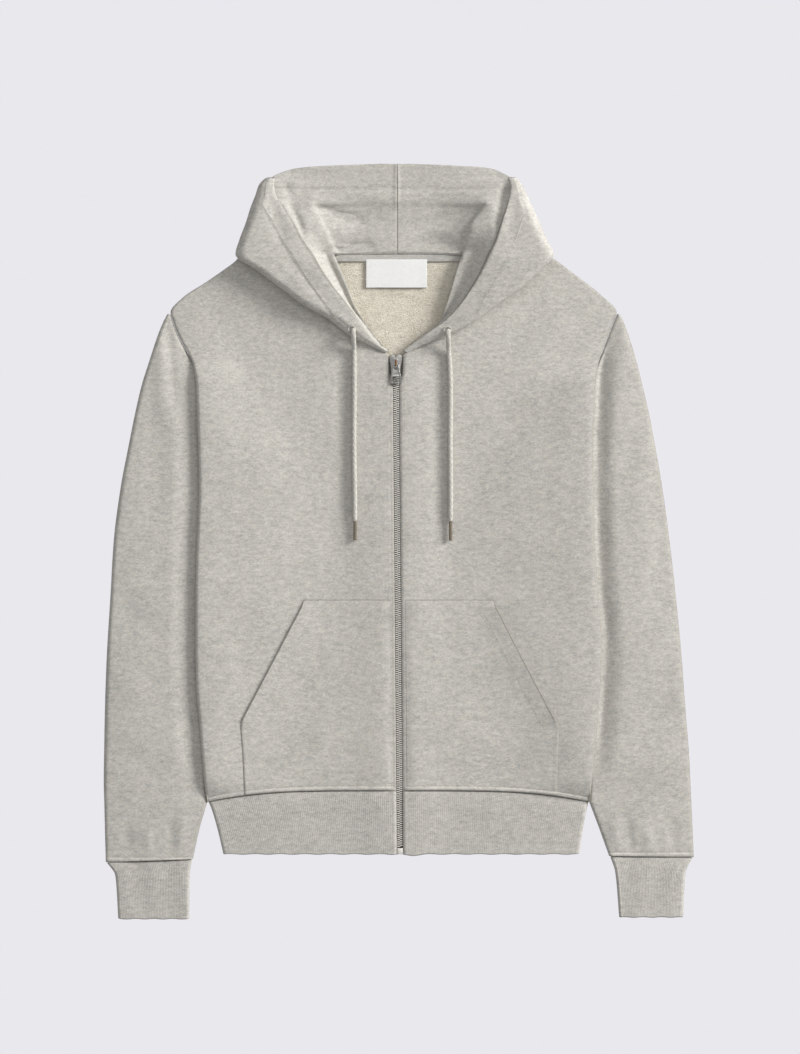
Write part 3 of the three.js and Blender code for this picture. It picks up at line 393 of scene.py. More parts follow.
def wall_piece(name, outer, inner, ring=False, soften=0.32, finishes=(), line=1.0, shade=0.0):
    """A wall between two grids of points in millimetres, rows by columns.

    In a ring, the last column joins on to the first. line is how dark the painted shade on the
    rims is drawn, and shade is painted shade on the points in between, one value for all or one
    for each column or point.
    """
    rows, columns = outer.shape[:2]
    outer, inner = outer.copy(), inner.copy()
    rim = np.zeros((rows, columns, 1))
    rim[0], rim[-1] = soften, soften
    if not ring:
        rim[:, 0], rim[:, -1] = soften, soften
    outer, inner = outer + (inner - outer) * rim, inner + (outer - inner) * rim
    points = np.concatenate([outer.reshape(-1, 3), inner.reshape(-1, 3)]) * MM
    cells = columns if ring else columns - 1
    r, c = np.meshgrid(np.arange(rows - 1), np.arange(cells), indexing="ij")
    r, c = r.ravel(), c.ravel()

    def at(row, column):
        return row * columns + column % columns

    top = np.stack([at(r, c), at(r, c + 1), at(r + 1, c + 1), at(r + 1, c)], axis=1)
    below = top[:, ::-1] + rows * columns
    sides = []
    c = np.arange(cells)
    shift = rows * columns
    for row, turn in ((0, 1), (rows - 1, -1)):
        a, b = at(row, c), at(row, c + 1)
        sides.append(np.stack([a, a + shift, b + shift, b], axis=1)[:, ::turn])
    if not ring:
        r = np.arange(rows - 1)
        for column, turn in ((0, -1), (columns - 1, 1)):
            a, b = at(r, column), at(r + 1, column)
            sides.append(np.stack([a, a + shift, b + shift, b], axis=1)[:, ::turn])
    faces = np.concatenate([top, below, *sides])
    p = points[faces]
    middle = p.mean(axis=1)
    area = np.cross(p[:, 2] - p[:, 0], p[:, 3] - p[:, 1]) / 2
    if (middle * area).sum() < 0:
        faces = faces[:, ::-1]
    mesh = bpy.data.meshes.new(name)
    mesh.from_pydata(points.tolist(), [], faces.tolist())
    inside = np.zeros(len(faces), dtype=np.int32)
    inside[len(top) : 2 * len(top)] = 1
    for finish in finishes:
        mesh.materials.append(finish)
    if len(finishes) > 1:
        mesh.polygons.foreach_set("material_index", inside)
    # painted shade: how much each point is darkened, as shade falls along a sewn or folded rim
    painted_shade = np.zeros((rows, columns))
    painted_shade[[0, -1]], painted_shade[[1, -2]] = line, NEXT_TO_RIM * line
    if not ring:
        painted_shade[:, [0, -1]], painted_shade[:, [1, -2]] = line, NEXT_TO_RIM * line
    painted_shade = np.maximum(painted_shade, shade)
    mark = mesh.attributes.new("painted_shade", "FLOAT", "POINT")
    mark.data.foreach_set("value", np.tile(painted_shade.ravel(), 2).astype(np.float32))
    mesh.update()
    piece = new_piece(name, mesh)
    bpy.ops.object.shade_smooth()
    print(name, len(faces), "faces")
    return piece


# %% [markdown]
# ## Finishes
# The fleece is a melange yarn: pale grey with darker and warmer fibres, drawn out along the
# rows of the knit. One shader group makes that fleck and the nap, and every cloth takes its own
# values from it. Sheen stands for the short fibres that catch the light at a slant. A mask on the
# points paints shade into the colour: a thin darker line along sewn and folded rims, and darker
# folds and edges where the lamp lights them too brightly.


# %% Shader groups
def group(name, inputs, outputs):
    tree = bpy.data.node_groups.new(name, "ShaderNodeTree")
    for label, kind, value in inputs:
        socket = tree.interface.new_socket(label, in_out="INPUT", socket_type=kind)
        socket.default_value = value
    for label in outputs:
        tree.interface.new_socket(label, in_out="OUTPUT", socket_type="NodeSocketFloat")
    return tree, tree.nodes.new("NodeGroupInput"), tree.nodes.new("NodeGroupOutput")


def math_node(tree, operation, a, b):
    node = tree.nodes.new("ShaderNodeMath")
    node.operation = operation
    for socket, value in zip(node.inputs, (a, b)):
        if isinstance(value, (int, float)):
            socket.default_value = value
        else:
            tree.links.new(value, socket)
    return node.outputs[0]


def noise_node(tree, vector, scale, detail, roughness=0.6):
    node = tree.nodes.new("ShaderNodeTexNoise")
    node.inputs["Detail"].default_value = detail
    node.inputs["Roughness"].default_value = roughness
    tree.links.new(vector, node.inputs["Vector"])
    if isinstance(scale, (int, float)):
        node.inputs["Scale"].default_value = scale
    else:
        tree.links.new(scale, node.inputs["Scale"])
    return node.outputs["Fac"]


def map_range(tree, value, read, give):
    """Stretch the values of one range over another."""
    node = tree.nodes.new("ShaderNodeMapRange")
    for label, number in zip(("From Min", "From Max", "To Min", "To Max"), (*read, *give)):
        node.inputs[label].default_value = number
    tree.links.new(value, node.inputs["Value"])
    return node.outputs["Result"]


def stretched(tree, scale):
    place = tree.nodes.new("ShaderNodeTexCoord")
    mapping = tree.nodes.new("ShaderNodeMapping")
    mapping.inputs["Scale"].default_value = scale
    tree.links.new(place.outputs["Object"], mapping.inputs["Vector"])
    return mapping.outputs["Vector"]


heather, entry, leave = group(
    "heather_yarn",
    [("Fleck scale", "NodeSocketFloat", 300.0), ("Nap scale", "NodeSocketFloat", 1500.0)],
    ["Fleck", "Warmth", "Nap"],
)
long_space = stretched(heather, (0.5, 1.0, 0.7))
even_space = stretched(heather, (1.0, 1.0, 1.0))
fleck_scale = entry.outputs["Fleck scale"]
broad_scale = math_node(heather, "MULTIPLY", fleck_scale, 0.3)
broad = noise_node(heather, long_space, broad_scale, 3, 0.6)
small = noise_node(heather, long_space, fleck_scale, 4, 0.7)
cloudy = noise_node(heather, even_space, 30.0, 3, 0.5)
broad_share = math_node(heather, "MULTIPLY", broad, 0.38)
small_share = math_node(heather, "MULTIPLY", small, 0.62)
drift = math_node(heather, "MULTIPLY", math_node(heather, "SUBTRACT", cloudy, 0.5), 0.1)
mixed = math_node(heather, "ADD", math_node(heather, "ADD", broad_share, small_share), drift)
heather.links.new(map_range(heather, mixed, (0.36, 0.64), (0.0, 1.0)), leave.inputs["Fleck"])
heather.links.new(noise_node(heather, long_space, 460.0, 4, 0.75), leave.inputs["Warmth"])
fibre = noise_node(heather, even_space, entry.outputs["Nap scale"], 4, 0.7)
nap = math_node(heather, "ADD", fibre, math_node(heather, "MULTIPLY", small, 0.5))
heather.links.new(nap, leave.inputs["Nap"])
print("heather group has", len(heather.nodes), "nodes")


# %% Cloth materials
def colour(code):
    """A colour as it looks on a screen, turned into the amounts of light that Blender uses."""
    parts = [int(code[k : k + 2], 16) / 255 for k in (0, 2, 4)]
    return [c / 12.92 if c <= 0.04045 else ((c + 0.055) / 1.055) ** 2.4 for c in parts] + [1.0]


def blank_material(name, roughness, metallic=0.0):
    material = bpy.data.materials.new(name)
    material.use_nodes = True
    shader = material.node_tree.nodes["Principled BSDF"]
    shader.inputs["Roughness"].default_value = roughness
    shader.inputs["Metallic"].default_value = metallic
    return material, material.node_tree, shader


def colour_mix(tree, factor, a, b):
    node = tree.nodes.new("ShaderNodeMix")
    node.data_type = "RGBA"
    tree.links.new(factor, node.inputs["Factor"])
    for socket, value in ((node.inputs["A"], a), (node.inputs["B"], b)):
        if isinstance(value, str):
            socket.default_value = colour(value)
        else:
            tree.links.new(value, socket)
    return node.outputs["Result"]


def bump(tree, shader, height, strength, distance):
    node = tree.nodes.new("ShaderNodeBump")
    node.inputs["Strength"].default_value = strength
    node.inputs["Distance"].default_value = distance
    tree.links.new(height, node.inputs["Height"])
    tree.links.new(node.outputs["Normal"], shader.inputs["Normal"])


# painted shade: the grey that the painted shade mask mixes into the cloth, and its greatest share
PAINTED_SHADE_COLOUR, PAINTED_SHADE_SHARE = "6f6b64", 0.75


def yarn_material(
    name, dark, light, warm, fleck=900.0, nap=1500.0, relief=0.35, depth=0.0006, sheen=0.08
):
    material, tree, shader = blank_material(name, 0.95)
    shader.inputs["Sheen Weight"].default_value = sheen
    shader.inputs["Sheen Roughness"].default_value = 0.6
    shader.inputs["Specular IOR Level"].default_value = 0.2
    yarn = tree.nodes.new("ShaderNodeGroup")
    yarn.node_tree = heather
    yarn.inputs["Fleck scale"].default_value = fleck
    yarn.inputs["Nap scale"].default_value = nap
    base = colour_mix(tree, yarn.outputs["Fleck"], dark, light)
    amount = map_range(tree, yarn.outputs["Warmth"], (0.5, 0.72), (0.0, 0.6))
    flecked = colour_mix(tree, amount, base, warm)
    # painted shade: the mask on the points darkens the cloth's colour
    mark = tree.nodes.new("ShaderNodeAttribute")
    mark.attribute_name = "painted_shade"
    painted_shade_amount = math_node(tree, "MULTIPLY", mark.outputs["Fac"], PAINTED_SHADE_SHARE)
    with_painted_shade = colour_mix(tree, painted_shade_amount, flecked, PAINTED_SHADE_COLOUR)
    tree.links.new(with_painted_shade, shader.inputs["Base Color"])
    bump(tree, shader, yarn.outputs["Nap"], relief, depth)
    return material


fleece = yarn_material("heather_fleece", "a19f99", "d3cfc7", "d4cab8")
lining_cloth = yarn_material("hood_lining_cloth", "a09e98", "d0ccc4", "d0c7b6")
rib_knit = yarn_material("rib_knit", "a09d97", "cfcbc4", "ccc3b4", relief=0.3)
terry = yarn_material(
    "loopback_terry", "ccc3b0", "f5eede", "ece0ca", fleck=620.0, nap=700.0, relief=0.9, depth=0.002
)
tape_cloth = yarn_material("neck_tape_cloth", "a4a29c", "c8c5be", "c4bcae", nap=2200.0)
# painted shade: the zip tape is coloured dark to stand for the shade between the teeth
zip_tape_painted_shade = yarn_material("zip_tape_painted_shade", "56534d", "7c7972", "6f6a60", nap=2200.0)
cord_cotton = yarn_material(
    "cord_cotton", "b0ada5", "cbc8c0", "c8c1b4", nap=2600.0, relief=0.25, sheen=0.05
)
label_satin = yarn_material(
    "label_satin", "e4e3e1", "efeeec", "eae8e4", fleck=1200.0, nap=3000.0, relief=0.12, sheen=0.1
)


def metal_material(name, dark, light, roughness, metallic=1.0):
    """Antique metal: its tone and its gloss both drift a little over the surface."""
    material, tree, shader = blank_material(name, roughness, metallic)
    tone = noise_node(tree, stretched(tree, (1.0, 1.0, 1.0)), 900.0, 4)
    tree.links.new(colour_mix(tree, tone, dark, light), shader.inputs["Base Color"])
    gloss = map_range(tree, tone, (0.0, 1.0), (roughness - 0.1, roughness + 0.15))
    tree.links.new(gloss, shader.inputs["Roughness"])
    bump(tree, shader, tone, 0.1, 0.0002)
    return material


zip_metal = metal_material("antique_silver", "cfcbc3", "f6f3ed", 0.68, 0.5)
slider_metal = metal_material("gunmetal", "8e8c88", "cfcdc9", 0.34)
copper = metal_material("worn_copper", "5d3f27", "a87f5c", 0.4)
aglet_metal = metal_material("dark_antique_metal", "5c5347", "a89d8c", 0.4)
print("materials:", len(bpy.data.materials))

# %% [markdown]
# ## Table and light
# The photograph's ground is one even pale tone, with no shadow round the garment. A table that
# is lit from inside gives just that. It gives the garment less light than it shows the camera,
# or the undersides would glow. A large soft lamp stands low on the wearer's left. It makes the
# shadows beside the body's edge, the hood and the cords, and an even sky does the rest.

# %% Table and light
FLOOR_SIZE = 40.0
FLOOR_SHOWN, FLOOR_GIVEN = "e9e8ed", "98979b"
deselect()
bpy.ops.mesh.primitive_plane_add(size=FLOOR_SIZE, location=(0, 0, 0))
floor = bpy.context.object
floor.name = "table_top"
glass_top, floor_tree, floor_shader = blank_material("lit_table_top", 1.0)
floor_shader.inputs["Base Color"].default_value = (0, 0, 0, 1)
floor_shader.inputs["Specular IOR Level"].default_value = 0.0
seen = floor_tree.nodes.new("ShaderNodeLightPath").outputs["Is Camera Ray"]
glow = colour_mix(floor_tree, seen, FLOOR_GIVEN, FLOOR_SHOWN)
floor_tree.links.new(glow, floor_shader.inputs["Emission Color"])
floor_shader.inputs["Emission Strength"].default_value = 1.0
floor.data.materials.append(glass_top)

LAMPS = [
    # name, place, size in metres, watts
    ("key_lamp", (5.6, 2.8, 2.55), 2.7, 600.0),
    ("top_lamp", (0.3, 2.0, 3.6), 3.0, 24.0),
    ("fill_lamp", (-2.6, -0.6, 2.6), 2.4, 6.0),
]
for name, place, size, watts in LAMPS:
    deselect()
    bpy.ops.object.light_add(type="AREA", location=place)
    lamp = bpy.context.object
    lamp.name = name
    lamp.data.shape = "DISK"
    lamp.data.size = size
    lamp.data.energy = watts
    aim = -lamp.location
    lamp.rotation_euler = aim.to_track_quat("-Z", "Y").to_euler()
world = bpy.data.worlds.new("soft_sky")
bpy.context.scene.world = world
world.use_nodes = True
world.node_tree.nodes["Background"].inputs["Color"].default_value = (0.97, 0.98, 1.0, 1.0)
world.node_tree.nodes["Background"].inputs["Strength"].default_value = 0.38
bpy.context.scene.view_settings.view_transform = "Standard"
print("lamps:", len(LAMPS))

# %% [markdown]
# ## Drawcords
# Each cord leaves its eyelet, drops off the hood and lies straight down the chest, with a metal
# aglet on its end. It is a tube swept along its route, with the plait raised on it: two sets of
# strands wind round it in opposite ways.

# %% Cord routes, in millimetres
CORD_D = 5.6
CORD_ROUTE = {
    "right": [
        (-49.7, 232.4, 19.6), (-49.5, 229.4, 20.8), (-49.3, 224.0, 19.4), (-49.0, 217.0, 14.4),
        (-48.8, 210.0, 10.2), (-48.6, 203.0, 9.0), (-48.5, 190.0, 9.0), (-48.5, 172.0, 9.0),
        (-48.6, 152.0, 9.0), (-48.8, 132.0, 9.0), (-48.9, 112.0, 9.0), (-48.7, 92.0, 9.0),
        (-48.4, 72.0, 9.0),
        (-48.1, 52.0, 9.0), (-47.9, 36.0, 9.0), (-47.8, 22.0, 9.0),
    ],
    "left": [
        (54.4, 231.4, 18.6), (54.4, 228.4, 19.8), (54.5, 223.0, 18.6), (54.8, 216.0, 14.0),
        (55.2, 209.0, 10.2), (55.7, 202.0, 9.0), (56.6, 189.0, 9.0), (57.1, 172.0, 9.0),
        (57.2, 152.0, 9.0), (57.0, 132.0, 9.0), (56.9, 112.0, 9.0), (57.0, 92.0, 9.0),
        (57.2, 72.0, 9.0),
        (57.3, 52.0, 9.0), (57.2, 36.0, 9.0), (57.1, 22.0, 9.0),
    ],
}
CORD_SIDES = 20
PLAIT_PITCH, PLAIT_STRANDS, PLAIT_RISE = 7.0, 4, 0.28
LAST_RINGS, LAST_SHARE = 6, 0.72  # the cord narrows to this share inside its aglet


def resampled(points, step):
    points = np.array(points, dtype=float)
    run = np.concatenate([[0], np.cumsum(np.linalg.norm(np.diff(points, axis=0), axis=1))])
    wanted = np.linspace(0, run[-1], max(3, int(run[-1] / step)))
    return np.stack([through(run, points[:, k], wanted) for k in range(3)], axis=1), wanted


def grid_mesh(name, points, finish, cap=True):
    """A tube from rings of points. A cap closes each end with a fan."""
    rings, sides = points.shape[:2]
    flat = points.reshape(-1, 3)
    faces = []
    for r in range(rings - 1):
        for s in range(sides):
            n = (s + 1) % sides
            faces.append((r * sides + s, r * sides + n, (r + 1) * sides + n, (r + 1) * sides + s))
    if cap:
        flat = np.concatenate([flat, points[0].mean(axis=0)[None], points[-1].mean(axis=0)[None]])
        first, last = len(flat) - 2, len(flat) - 1
        for s in range(sides):
            n = (s + 1) % sides
            faces.append((first, n, s))
            faces.append((last, (rings - 1) * sides + s, (rings - 1) * sides + n))
    mesh = bpy.data.meshes.new(name)
    mesh.from_pydata((flat * MM).tolist(), [], faces)
    mesh.materials.append(finish)
    piece = new_piece(name, mesh)
    turn_outward()
    bpy.ops.object.shade_smooth()
    return piece


def sweep(line, radius_at, sides):
    """Rings of points round a line that runs mostly down the garment."""
    along = np.gradient(line, axis=0)
    along /= np.linalg.norm(along, axis=1, keepdims=True)
    across = np.cross(along, (0, 0, 1.0))
    across /= np.linalg.norm(across, axis=1, keepdims=True)
    up = np.cross(across, along)
    turn = np.linspace(0, 2 * np.pi, sides, endpoint=False)[None, :, None]
    spokes = across[:, None] * np.cos(turn) + up[:, None] * np.sin(turn)
    return line[:, None] + spokes * radius_at[..., None]


# %% Drawcords
for side in SIDES:
    line, run = resampled(CORD_ROUTE[side], 0.9)
    turn = np.linspace(0, 2 * np.pi, CORD_SIDES, endpoint=False)
    wind = 2 * np.pi * run[:, None] / PLAIT_PITCH
    one = np.cos(PLAIT_STRANDS * turn[None] + wind)
    other = np.cos(PLAIT_STRANDS * turn[None] - wind)
    radius = CORD_D / 2 - PLAIT_RISE + PLAIT_RISE * np.maximum(one, other)
    radius[-LAST_RINGS:] *= np.linspace(1, LAST_SHARE, LAST_RINGS)[:, None]
    cord_piece = grid_mesh(f"plaited_cord_{side}", sweep(line, radius, CORD_SIDES), cord_cotton)
    settle(cord_piece, f"drawcord_{side}")
    route = [[c * MM for c in p] for p in CORD_ROUTE[side]]
    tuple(route[0])
    refinish(f"aglet_{side}", aglet_metal)
    print(cord_piece.name, "is", round(float(run[-1]), 1), "mm long")


# %% [markdown]
# ## Back
# The back lies on the table. Its sides curl up to meet the fronts, and its inner face, a pale
# loopback terry, shows through the open neck.


# %% Back
ROUND_STEPS = np.radians([0, 18, 36, 54, 72, 90])
SEAM_GAP = 0.05  # back and front each stay this far from the middle of the side fold
BACK_SLOPE = 60.0  # the part that rises to the side, where the points are closer


def side_curl(x, z, seam):
    """The rounded side from (x, z) to the height of the seam, one point a step of the turn."""
    turn = ROUND_STEPS[1:]
    return np.stack([x + SIDE_ROUND * np.sin(turn), seam + (z - seam) * np.cos(turn)], axis=1)


def back_sections(ys):
    lines = []
    for y in ys:
        halves = []
        for side in SIDES:
            edge = body_edge(side, y)
            middle_x = edge - SIDE_ROUND
            lift = float(body_lift(side, middle_x, y))
            top = FRONT_TOP + float(front_lift(side, middle_x, y) + side_puff(side, middle_x, y))
            seam = (top + lift) / 2 - SEAM_GAP
            slope_x = middle_x - BACK_SLOPE
            rising = np.linspace(slope_x, middle_x, 22)
            xs = np.concatenate([np.linspace(0, slope_x, 30), rising[1:]])
            flat = np.stack([xs, body_lift(side, xs, y)], axis=1)
            half = np.concatenate([flat, side_curl(middle_x, lift, seam)])
            half[:, 0] *= SIGN[side]
            halves.append(half)
        lines.append(np.concatenate([halves[0][::-1], halves[1][1:]]))
    return np.array(lines)


def along_seam(x, y):
    """The lowest rows follow the curved waistband seam, and the curve fades out above it."""
    share = 1 - smoothstep(0, 40, np.asarray(y) - SEAM_Y)
    return y + share * (seam_y(x) + JOIN - SEAM_Y)


def placed(lines, ys):
    x = lines[..., 0]
    y = np.repeat(np.asarray(ys)[:, None], lines.shape[1], axis=1)
    return np.stack([x, along_seam(x, y), lines[..., 1]], axis=2)


back_y = spaced(SEAM_Y, NECK_Y, 5.0)
back_lines = back_sections(back_y)
back_inside = moved(back_lines, CLOTH)
for k in (0, -1):
    back_inside[:, k, 1] = back_lines[:, k, 1]
back = wall_piece(
    "back_panel", placed(back_lines, back_y), placed(back_inside, back_y), finishes=(fleece, terry)
)
settle(back, "back")

# %% [markdown]
# ## Fronts
# Each front runs from the zip or the neckline to the rounded fold at the side. The zip edge is
# folded under, so it rolls down to the teeth.

# %% Fronts
NEAR = np.concatenate([[0, 0.4, 0.9, 1.6, 2.6, 4.0, 6.0], np.arange(8.6, 34, 2.6)])
FAR_COLUMNS = 56
# painted shade darkens the folds and edges that face the low lamp, in the cloth's colour
PAINTED_SHADE_FOLD = {"right": 0.2, "left": 0.75}  # painted shade on the folded side, which the low lamp lights brightly
PAINTED_SHADE_EDGE = {"right": 0.5, "left": 0.1}  # and painted shade on the edges at the zip and the armhole
ZIP_EDGE_DIP, ZIP_EDGE_RUN = 1.0, 1.7  # how the edge beside the zip rolls down


def front_columns(side, y):
    start = SIGN[side] * zip_x(y) + np.interp(y, FRONT_EDGE["y"], FRONT_EDGE[side])
    end = body_edge(side, y) - SIDE_ROUND
    squeeze = min(1.0, (end - start) / (NEAR[-1] + 60))
    near = start + squeeze * NEAR
    return np.concatenate([near, np.linspace(near[-1], end, FAR_COLUMNS + 1)[1:]]), start


def front_sections(side, ys):
    lines = []
    for y in ys:
        x, start = front_columns(side, y)
        z = front_top(side, SIGN[side] * x, along_seam(x, y))
        z = z - ZIP_EDGE_DIP * bell(x, start, ZIP_EDGE_RUN) * (y < 206)
        lift = float(body_lift(side, x[-1], y))
        seam = (z[-1] + lift) / 2 + SEAM_GAP
        lines.append(np.concatenate([np.stack([x, z], axis=1), side_curl(x[-1], z[-1], seam)]))
    return np.array(lines)


for side in SIDES:
    ys = spaced(SEAM_Y, NECK_Y - 0.2, 4.0, fine=NEAR_SEAM)
    sections = front_sections(side, ys)
    inside = moved(sections, -CLOTH)
    inside[:, 0, 0] = sections[:, 0, 0]
    inside[:, -1, 1] = sections[:, -1, 1]
    for grid in (sections, inside):
        grid[..., 0] *= SIGN[side]
    painted_column_shade = np.zeros(sections.shape[1])  # painted shade, one value a column, for the fold and the zip edge
    painted_column_shade[1 - len(ROUND_STEPS) :] = PAINTED_SHADE_FOLD[side] * (0.2 + 0.8 * np.sin(ROUND_STEPS[1:]))
    painted_column_shade[2:5] = PAINTED_SHADE_EDGE[side]
    piece = wall_piece(
        f"front_panel_{side}", placed(sections, ys), placed(inside, ys), finishes=(fleece, terry),
        line=0.5, shade=painted_column_shade,
    )
    settle(piece, f"front_{side}")

# %% [markdown]
# ## Sleeves
# A sleeve is a flattened tube. Its inner part lies under the body's raised side, and its top
# rises again beside the body, which leaves the long soft valley there.

# %% Sleeve sections
FOREARM = {
    "right": [(-319, 322.7, 218.8, -317, 7.0), (-353.1, 321.8, 226.1, -349.8, BAND_TOP)],
    "left": [(-318, 323.4, 221.0, -317, 7.0), (-347.6, 324.6, 231.6, -346.5, BAND_TOP)],
}
RISE = {"right": (5, 30), "left": (2, 26)}
END_TURN = np.radians(np.linspace(-90, 90, 11))
FREE_BELOW = -287.0  # below this the sleeve hangs free of the body
TOP_COLUMNS = 52
UNDER_COLUMNS = TOP_COLUMNS // 2 - 1  # points underneath a sleeve, before its outer end


def tube_ring(inner, outer, top, columns):
    """A flattened ring of (x, z) points: underneath, round the outer end, back over the top."""
    half_in, half_out = top(inner) / 2, top(outer) / 2
    reach = (outer - inner) / 2 - 0.1
    a, b = inner + min(half_in, reach), outer - min(half_out * 1.25, reach)
    under = np.linspace(a, b, columns // 2 + 1)[1:-1]
    over = np.linspace(b, a, columns + 1)[1:-1]
    back = END_TURN[::-1]
    far = np.stack([b + (outer - b) * np.cos(END_TURN), half_out * (1 + np.sin(END_TURN))], axis=1)
    near = np.stack([a - (a - inner) * np.cos(back), half_in * (1 + np.sin(back))], axis=1)
    far[5:, 1] *= top(b) / (2 * half_out)
    return np.concatenate(
        [np.stack([under, 0 * under], axis=1), far, np.stack([over, top(over)], axis=1), near]
    )


def sleeve_grid(side):
    rings = []
    for y in spaced(FREE_BELOW, SLEEVE["y"][-1], 4.5)[::-1]:
        edge = float(body_edge(side, y))
        inner, outer = edge - sleeve_lap(y), float(through(SLEEVE["y"], SLEEVE[side], y))
        beside = float(smoothstep(FREE_BELOW, -235, y))
        rings.append((inner, outer, y, y, edge, beside, FOREARM_TOP))
    inner = float(body_edge(side, FREE_BELOW)) + 1.2
    start = (FREE_BELOW, float(SLEEVE[side][0]), inner, FREE_BELOW, FOREARM_TOP)
    rows = np.array([start] + FOREARM[side])[::-1]
    cuff_y = rows[0, 0]
    beside_cuff = cuff_y + np.array(NEAR_SEAM)[:-1][::-1]
    for y in np.concatenate([np.linspace(FREE_BELOW - 3, cuff_y + 8, 14), beside_cuff]):
        outer, inner, inner_y, high = read_rows(rows, y)
        rings.append((inner, outer, inner_y, y, inner, 0.0, high))
    low, high = RISE[side]
    sections, places = [], []
    for inner, outer, inner_y, outer_y, edge, beside, plain in rings:

        def top(x):
            x = np.asarray(x, dtype=float)
            rise = TUCKED_TOP + (SLEEVE_TOP + 0.5 - TUCKED_TOP) * smoothstep(low, high, x - edge)
            height = plain + (rise - plain) * beside
            middle = (inner + outer) / 2
            crown = 1.0 * np.clip(1 - ((x - middle) / max(4.0, (outer - inner) / 2)) ** 2, 0, 1)
            y = inner_y + (outer_y - inner_y) * (x - inner) / max(1.0, outer - inner)
            wide = smoothstep(4, 24, outer - inner)
            clear = smoothstep(0, 5, x - edge) if beside > 0.5 else 1.0
            extra = folds(SLEEVE_FOLDS, SIGN[side] * x, y) + waves(SIGN[side] * x, y)
            return height + wide * clear * (extra + crown) + strip(y - cuff_y - 0.2)

        ring = tube_ring(inner, outer, top, TOP_COLUMNS)
        sections.append(ring)
        share = np.clip((ring[:, 0] - inner) / max(1.0, outer - inner), 0, 1)
        places.append(inner_y + (outer_y - inner_y) * share)
    return np.array(sections), np.array(places)


def on_table(side, rings, places):
    """Points in space from rings of (x, z) points and their y, none of them below the table."""
    return np.stack([SIGN[side] * rings[..., 0], places, np.maximum(rings[..., 1], 0)], axis=2)


for side in SIDES:
    ring, y = sleeve_grid(side)
    inside = moved(ring, CLOTH, ring=True)
    painted_column_shade = np.zeros(ring.shape[1])  # painted shade, one value a column, for the outer fold and the inner end
    outer_end = slice(UNDER_COLUMNS, UNDER_COLUMNS + len(END_TURN))
    painted_column_shade[outer_end] = PAINTED_SHADE_FOLD[side] * (0.1 + 0.8 * np.cos(END_TURN))
    painted_column_shade[-len(END_TURN) :] = PAINTED_SHADE_EDGE[side] * (0.3 + 0.9 * np.cos(END_TURN))
    piece = wall_piece(
        f"sleeve_tube_{side}", on_table(side, ring, y), on_table(side, inside, y), ring=True,
        finishes=(fleece, terry), line=0.4, shade=painted_column_shade,
    )
    settle(piece, f"sleeve_{side}")

# %% [markdown]
# ## Rib cuffs and waistband
# The rib is knitted in columns about 2 mm apart. Each is raised from the wall, so it catches the
# light from the side. The ribs are drawn in at the seam and relax towards the hem.

# %% Cuffs
RIB_PITCH = 2.03
RIB_HEIGHT = 0.24
CUFF = {
    # each row: outer y, outer x, inner x, inner y
    "right": [
        (-353.5, 320.6, 227.0, -350.2), (-367.4, 311.3, 229.4, -366.4),
        (-415.5, 308.1, 230.0, -415.5),
    ],
    "left": [
        (-348.0, 323.4, 232.8, -346.9), (-364.8, 315.6, 238.2, -363.8),
        (-413.6, 313.0, 242.6, -413.6),
    ],
}


def rib(x, strength):
    """Height of the knitted columns across x."""
    wave = 0.5 + 0.5 * np.cos(2 * np.pi * x / RIB_PITCH)
    return RIB_HEIGHT * strength * (wave**0.7 - 1)


for side in SIDES:
    rows = np.array(CUFF[side])[::-1]
    levels = spaced(rows[0, 0], rows[-1, 0], 4.0)[::-1]
    width = rows[-1, 1] - rows[-1, 2]
    columns = int(width / RIB_PITCH) * 4
    sections, places = [], []
    for y in levels:
        outer, inner, inner_y = read_rows(rows, y)
        share = (rows[-1, 0] - y) / (rows[-1, 0] - rows[0, 0])
        strength = 1.0 - 0.45 * share
        scale = width / (outer - inner)

        def top(x):
            x = np.asarray(x, dtype=float)
            puff = 0.5 * bell(share, 0.22, 0.16) + 0.25 * np.sin(x * 0.19 + 2 * share)
            seam_dip = 0.4 * math.exp(-((share * 40) ** 1.2))
            return BAND_TOP + 0.25 + puff + rib((x - inner) * scale, strength) - seam_dip

        ring = tube_ring(inner, outer, top, columns)
        ring[ring[:, 1] < 0.01, 1] = 0.0
        sections.append(ring)
        part = np.clip((ring[:, 0] - inner) / (outer - inner), 0, 1)
        ragged = 0.35 * np.sin(ring[:, 0] * 0.31) * smoothstep(0.8, 1, share)
        places.append(inner_y + (y - inner_y) * part + ragged)
    sections, places = np.array(sections), np.array(places)
    inside = moved(sections, RIB_CLOTH, ring=True)
    piece = wall_piece(
        f"rib_cuff_{side}", on_table(side, sections, places), on_table(side, inside, places),
        ring=True, finishes=(rib_knit,), line=0.5,
    )
    settle(piece, f"cuff_{side}")

# %% Waistband
HEM_HALF = {"right": 192.5, "left": 198.6}
BAND_ROUND, BAND_TURN = 3.0, np.radians([66, 44, 22, 0, -22, -44, -66])
BAND_ARM = 190  # width of half the band in even ribs, before it is gathered or let out
TEETH_ROOM = 3.4  # how far the band stays from the middle of the zip
BAND_LEVELS = spaced(0.0, 1.0, 0.08, fine=(0.0, 0.008, 0.02, 0.04))


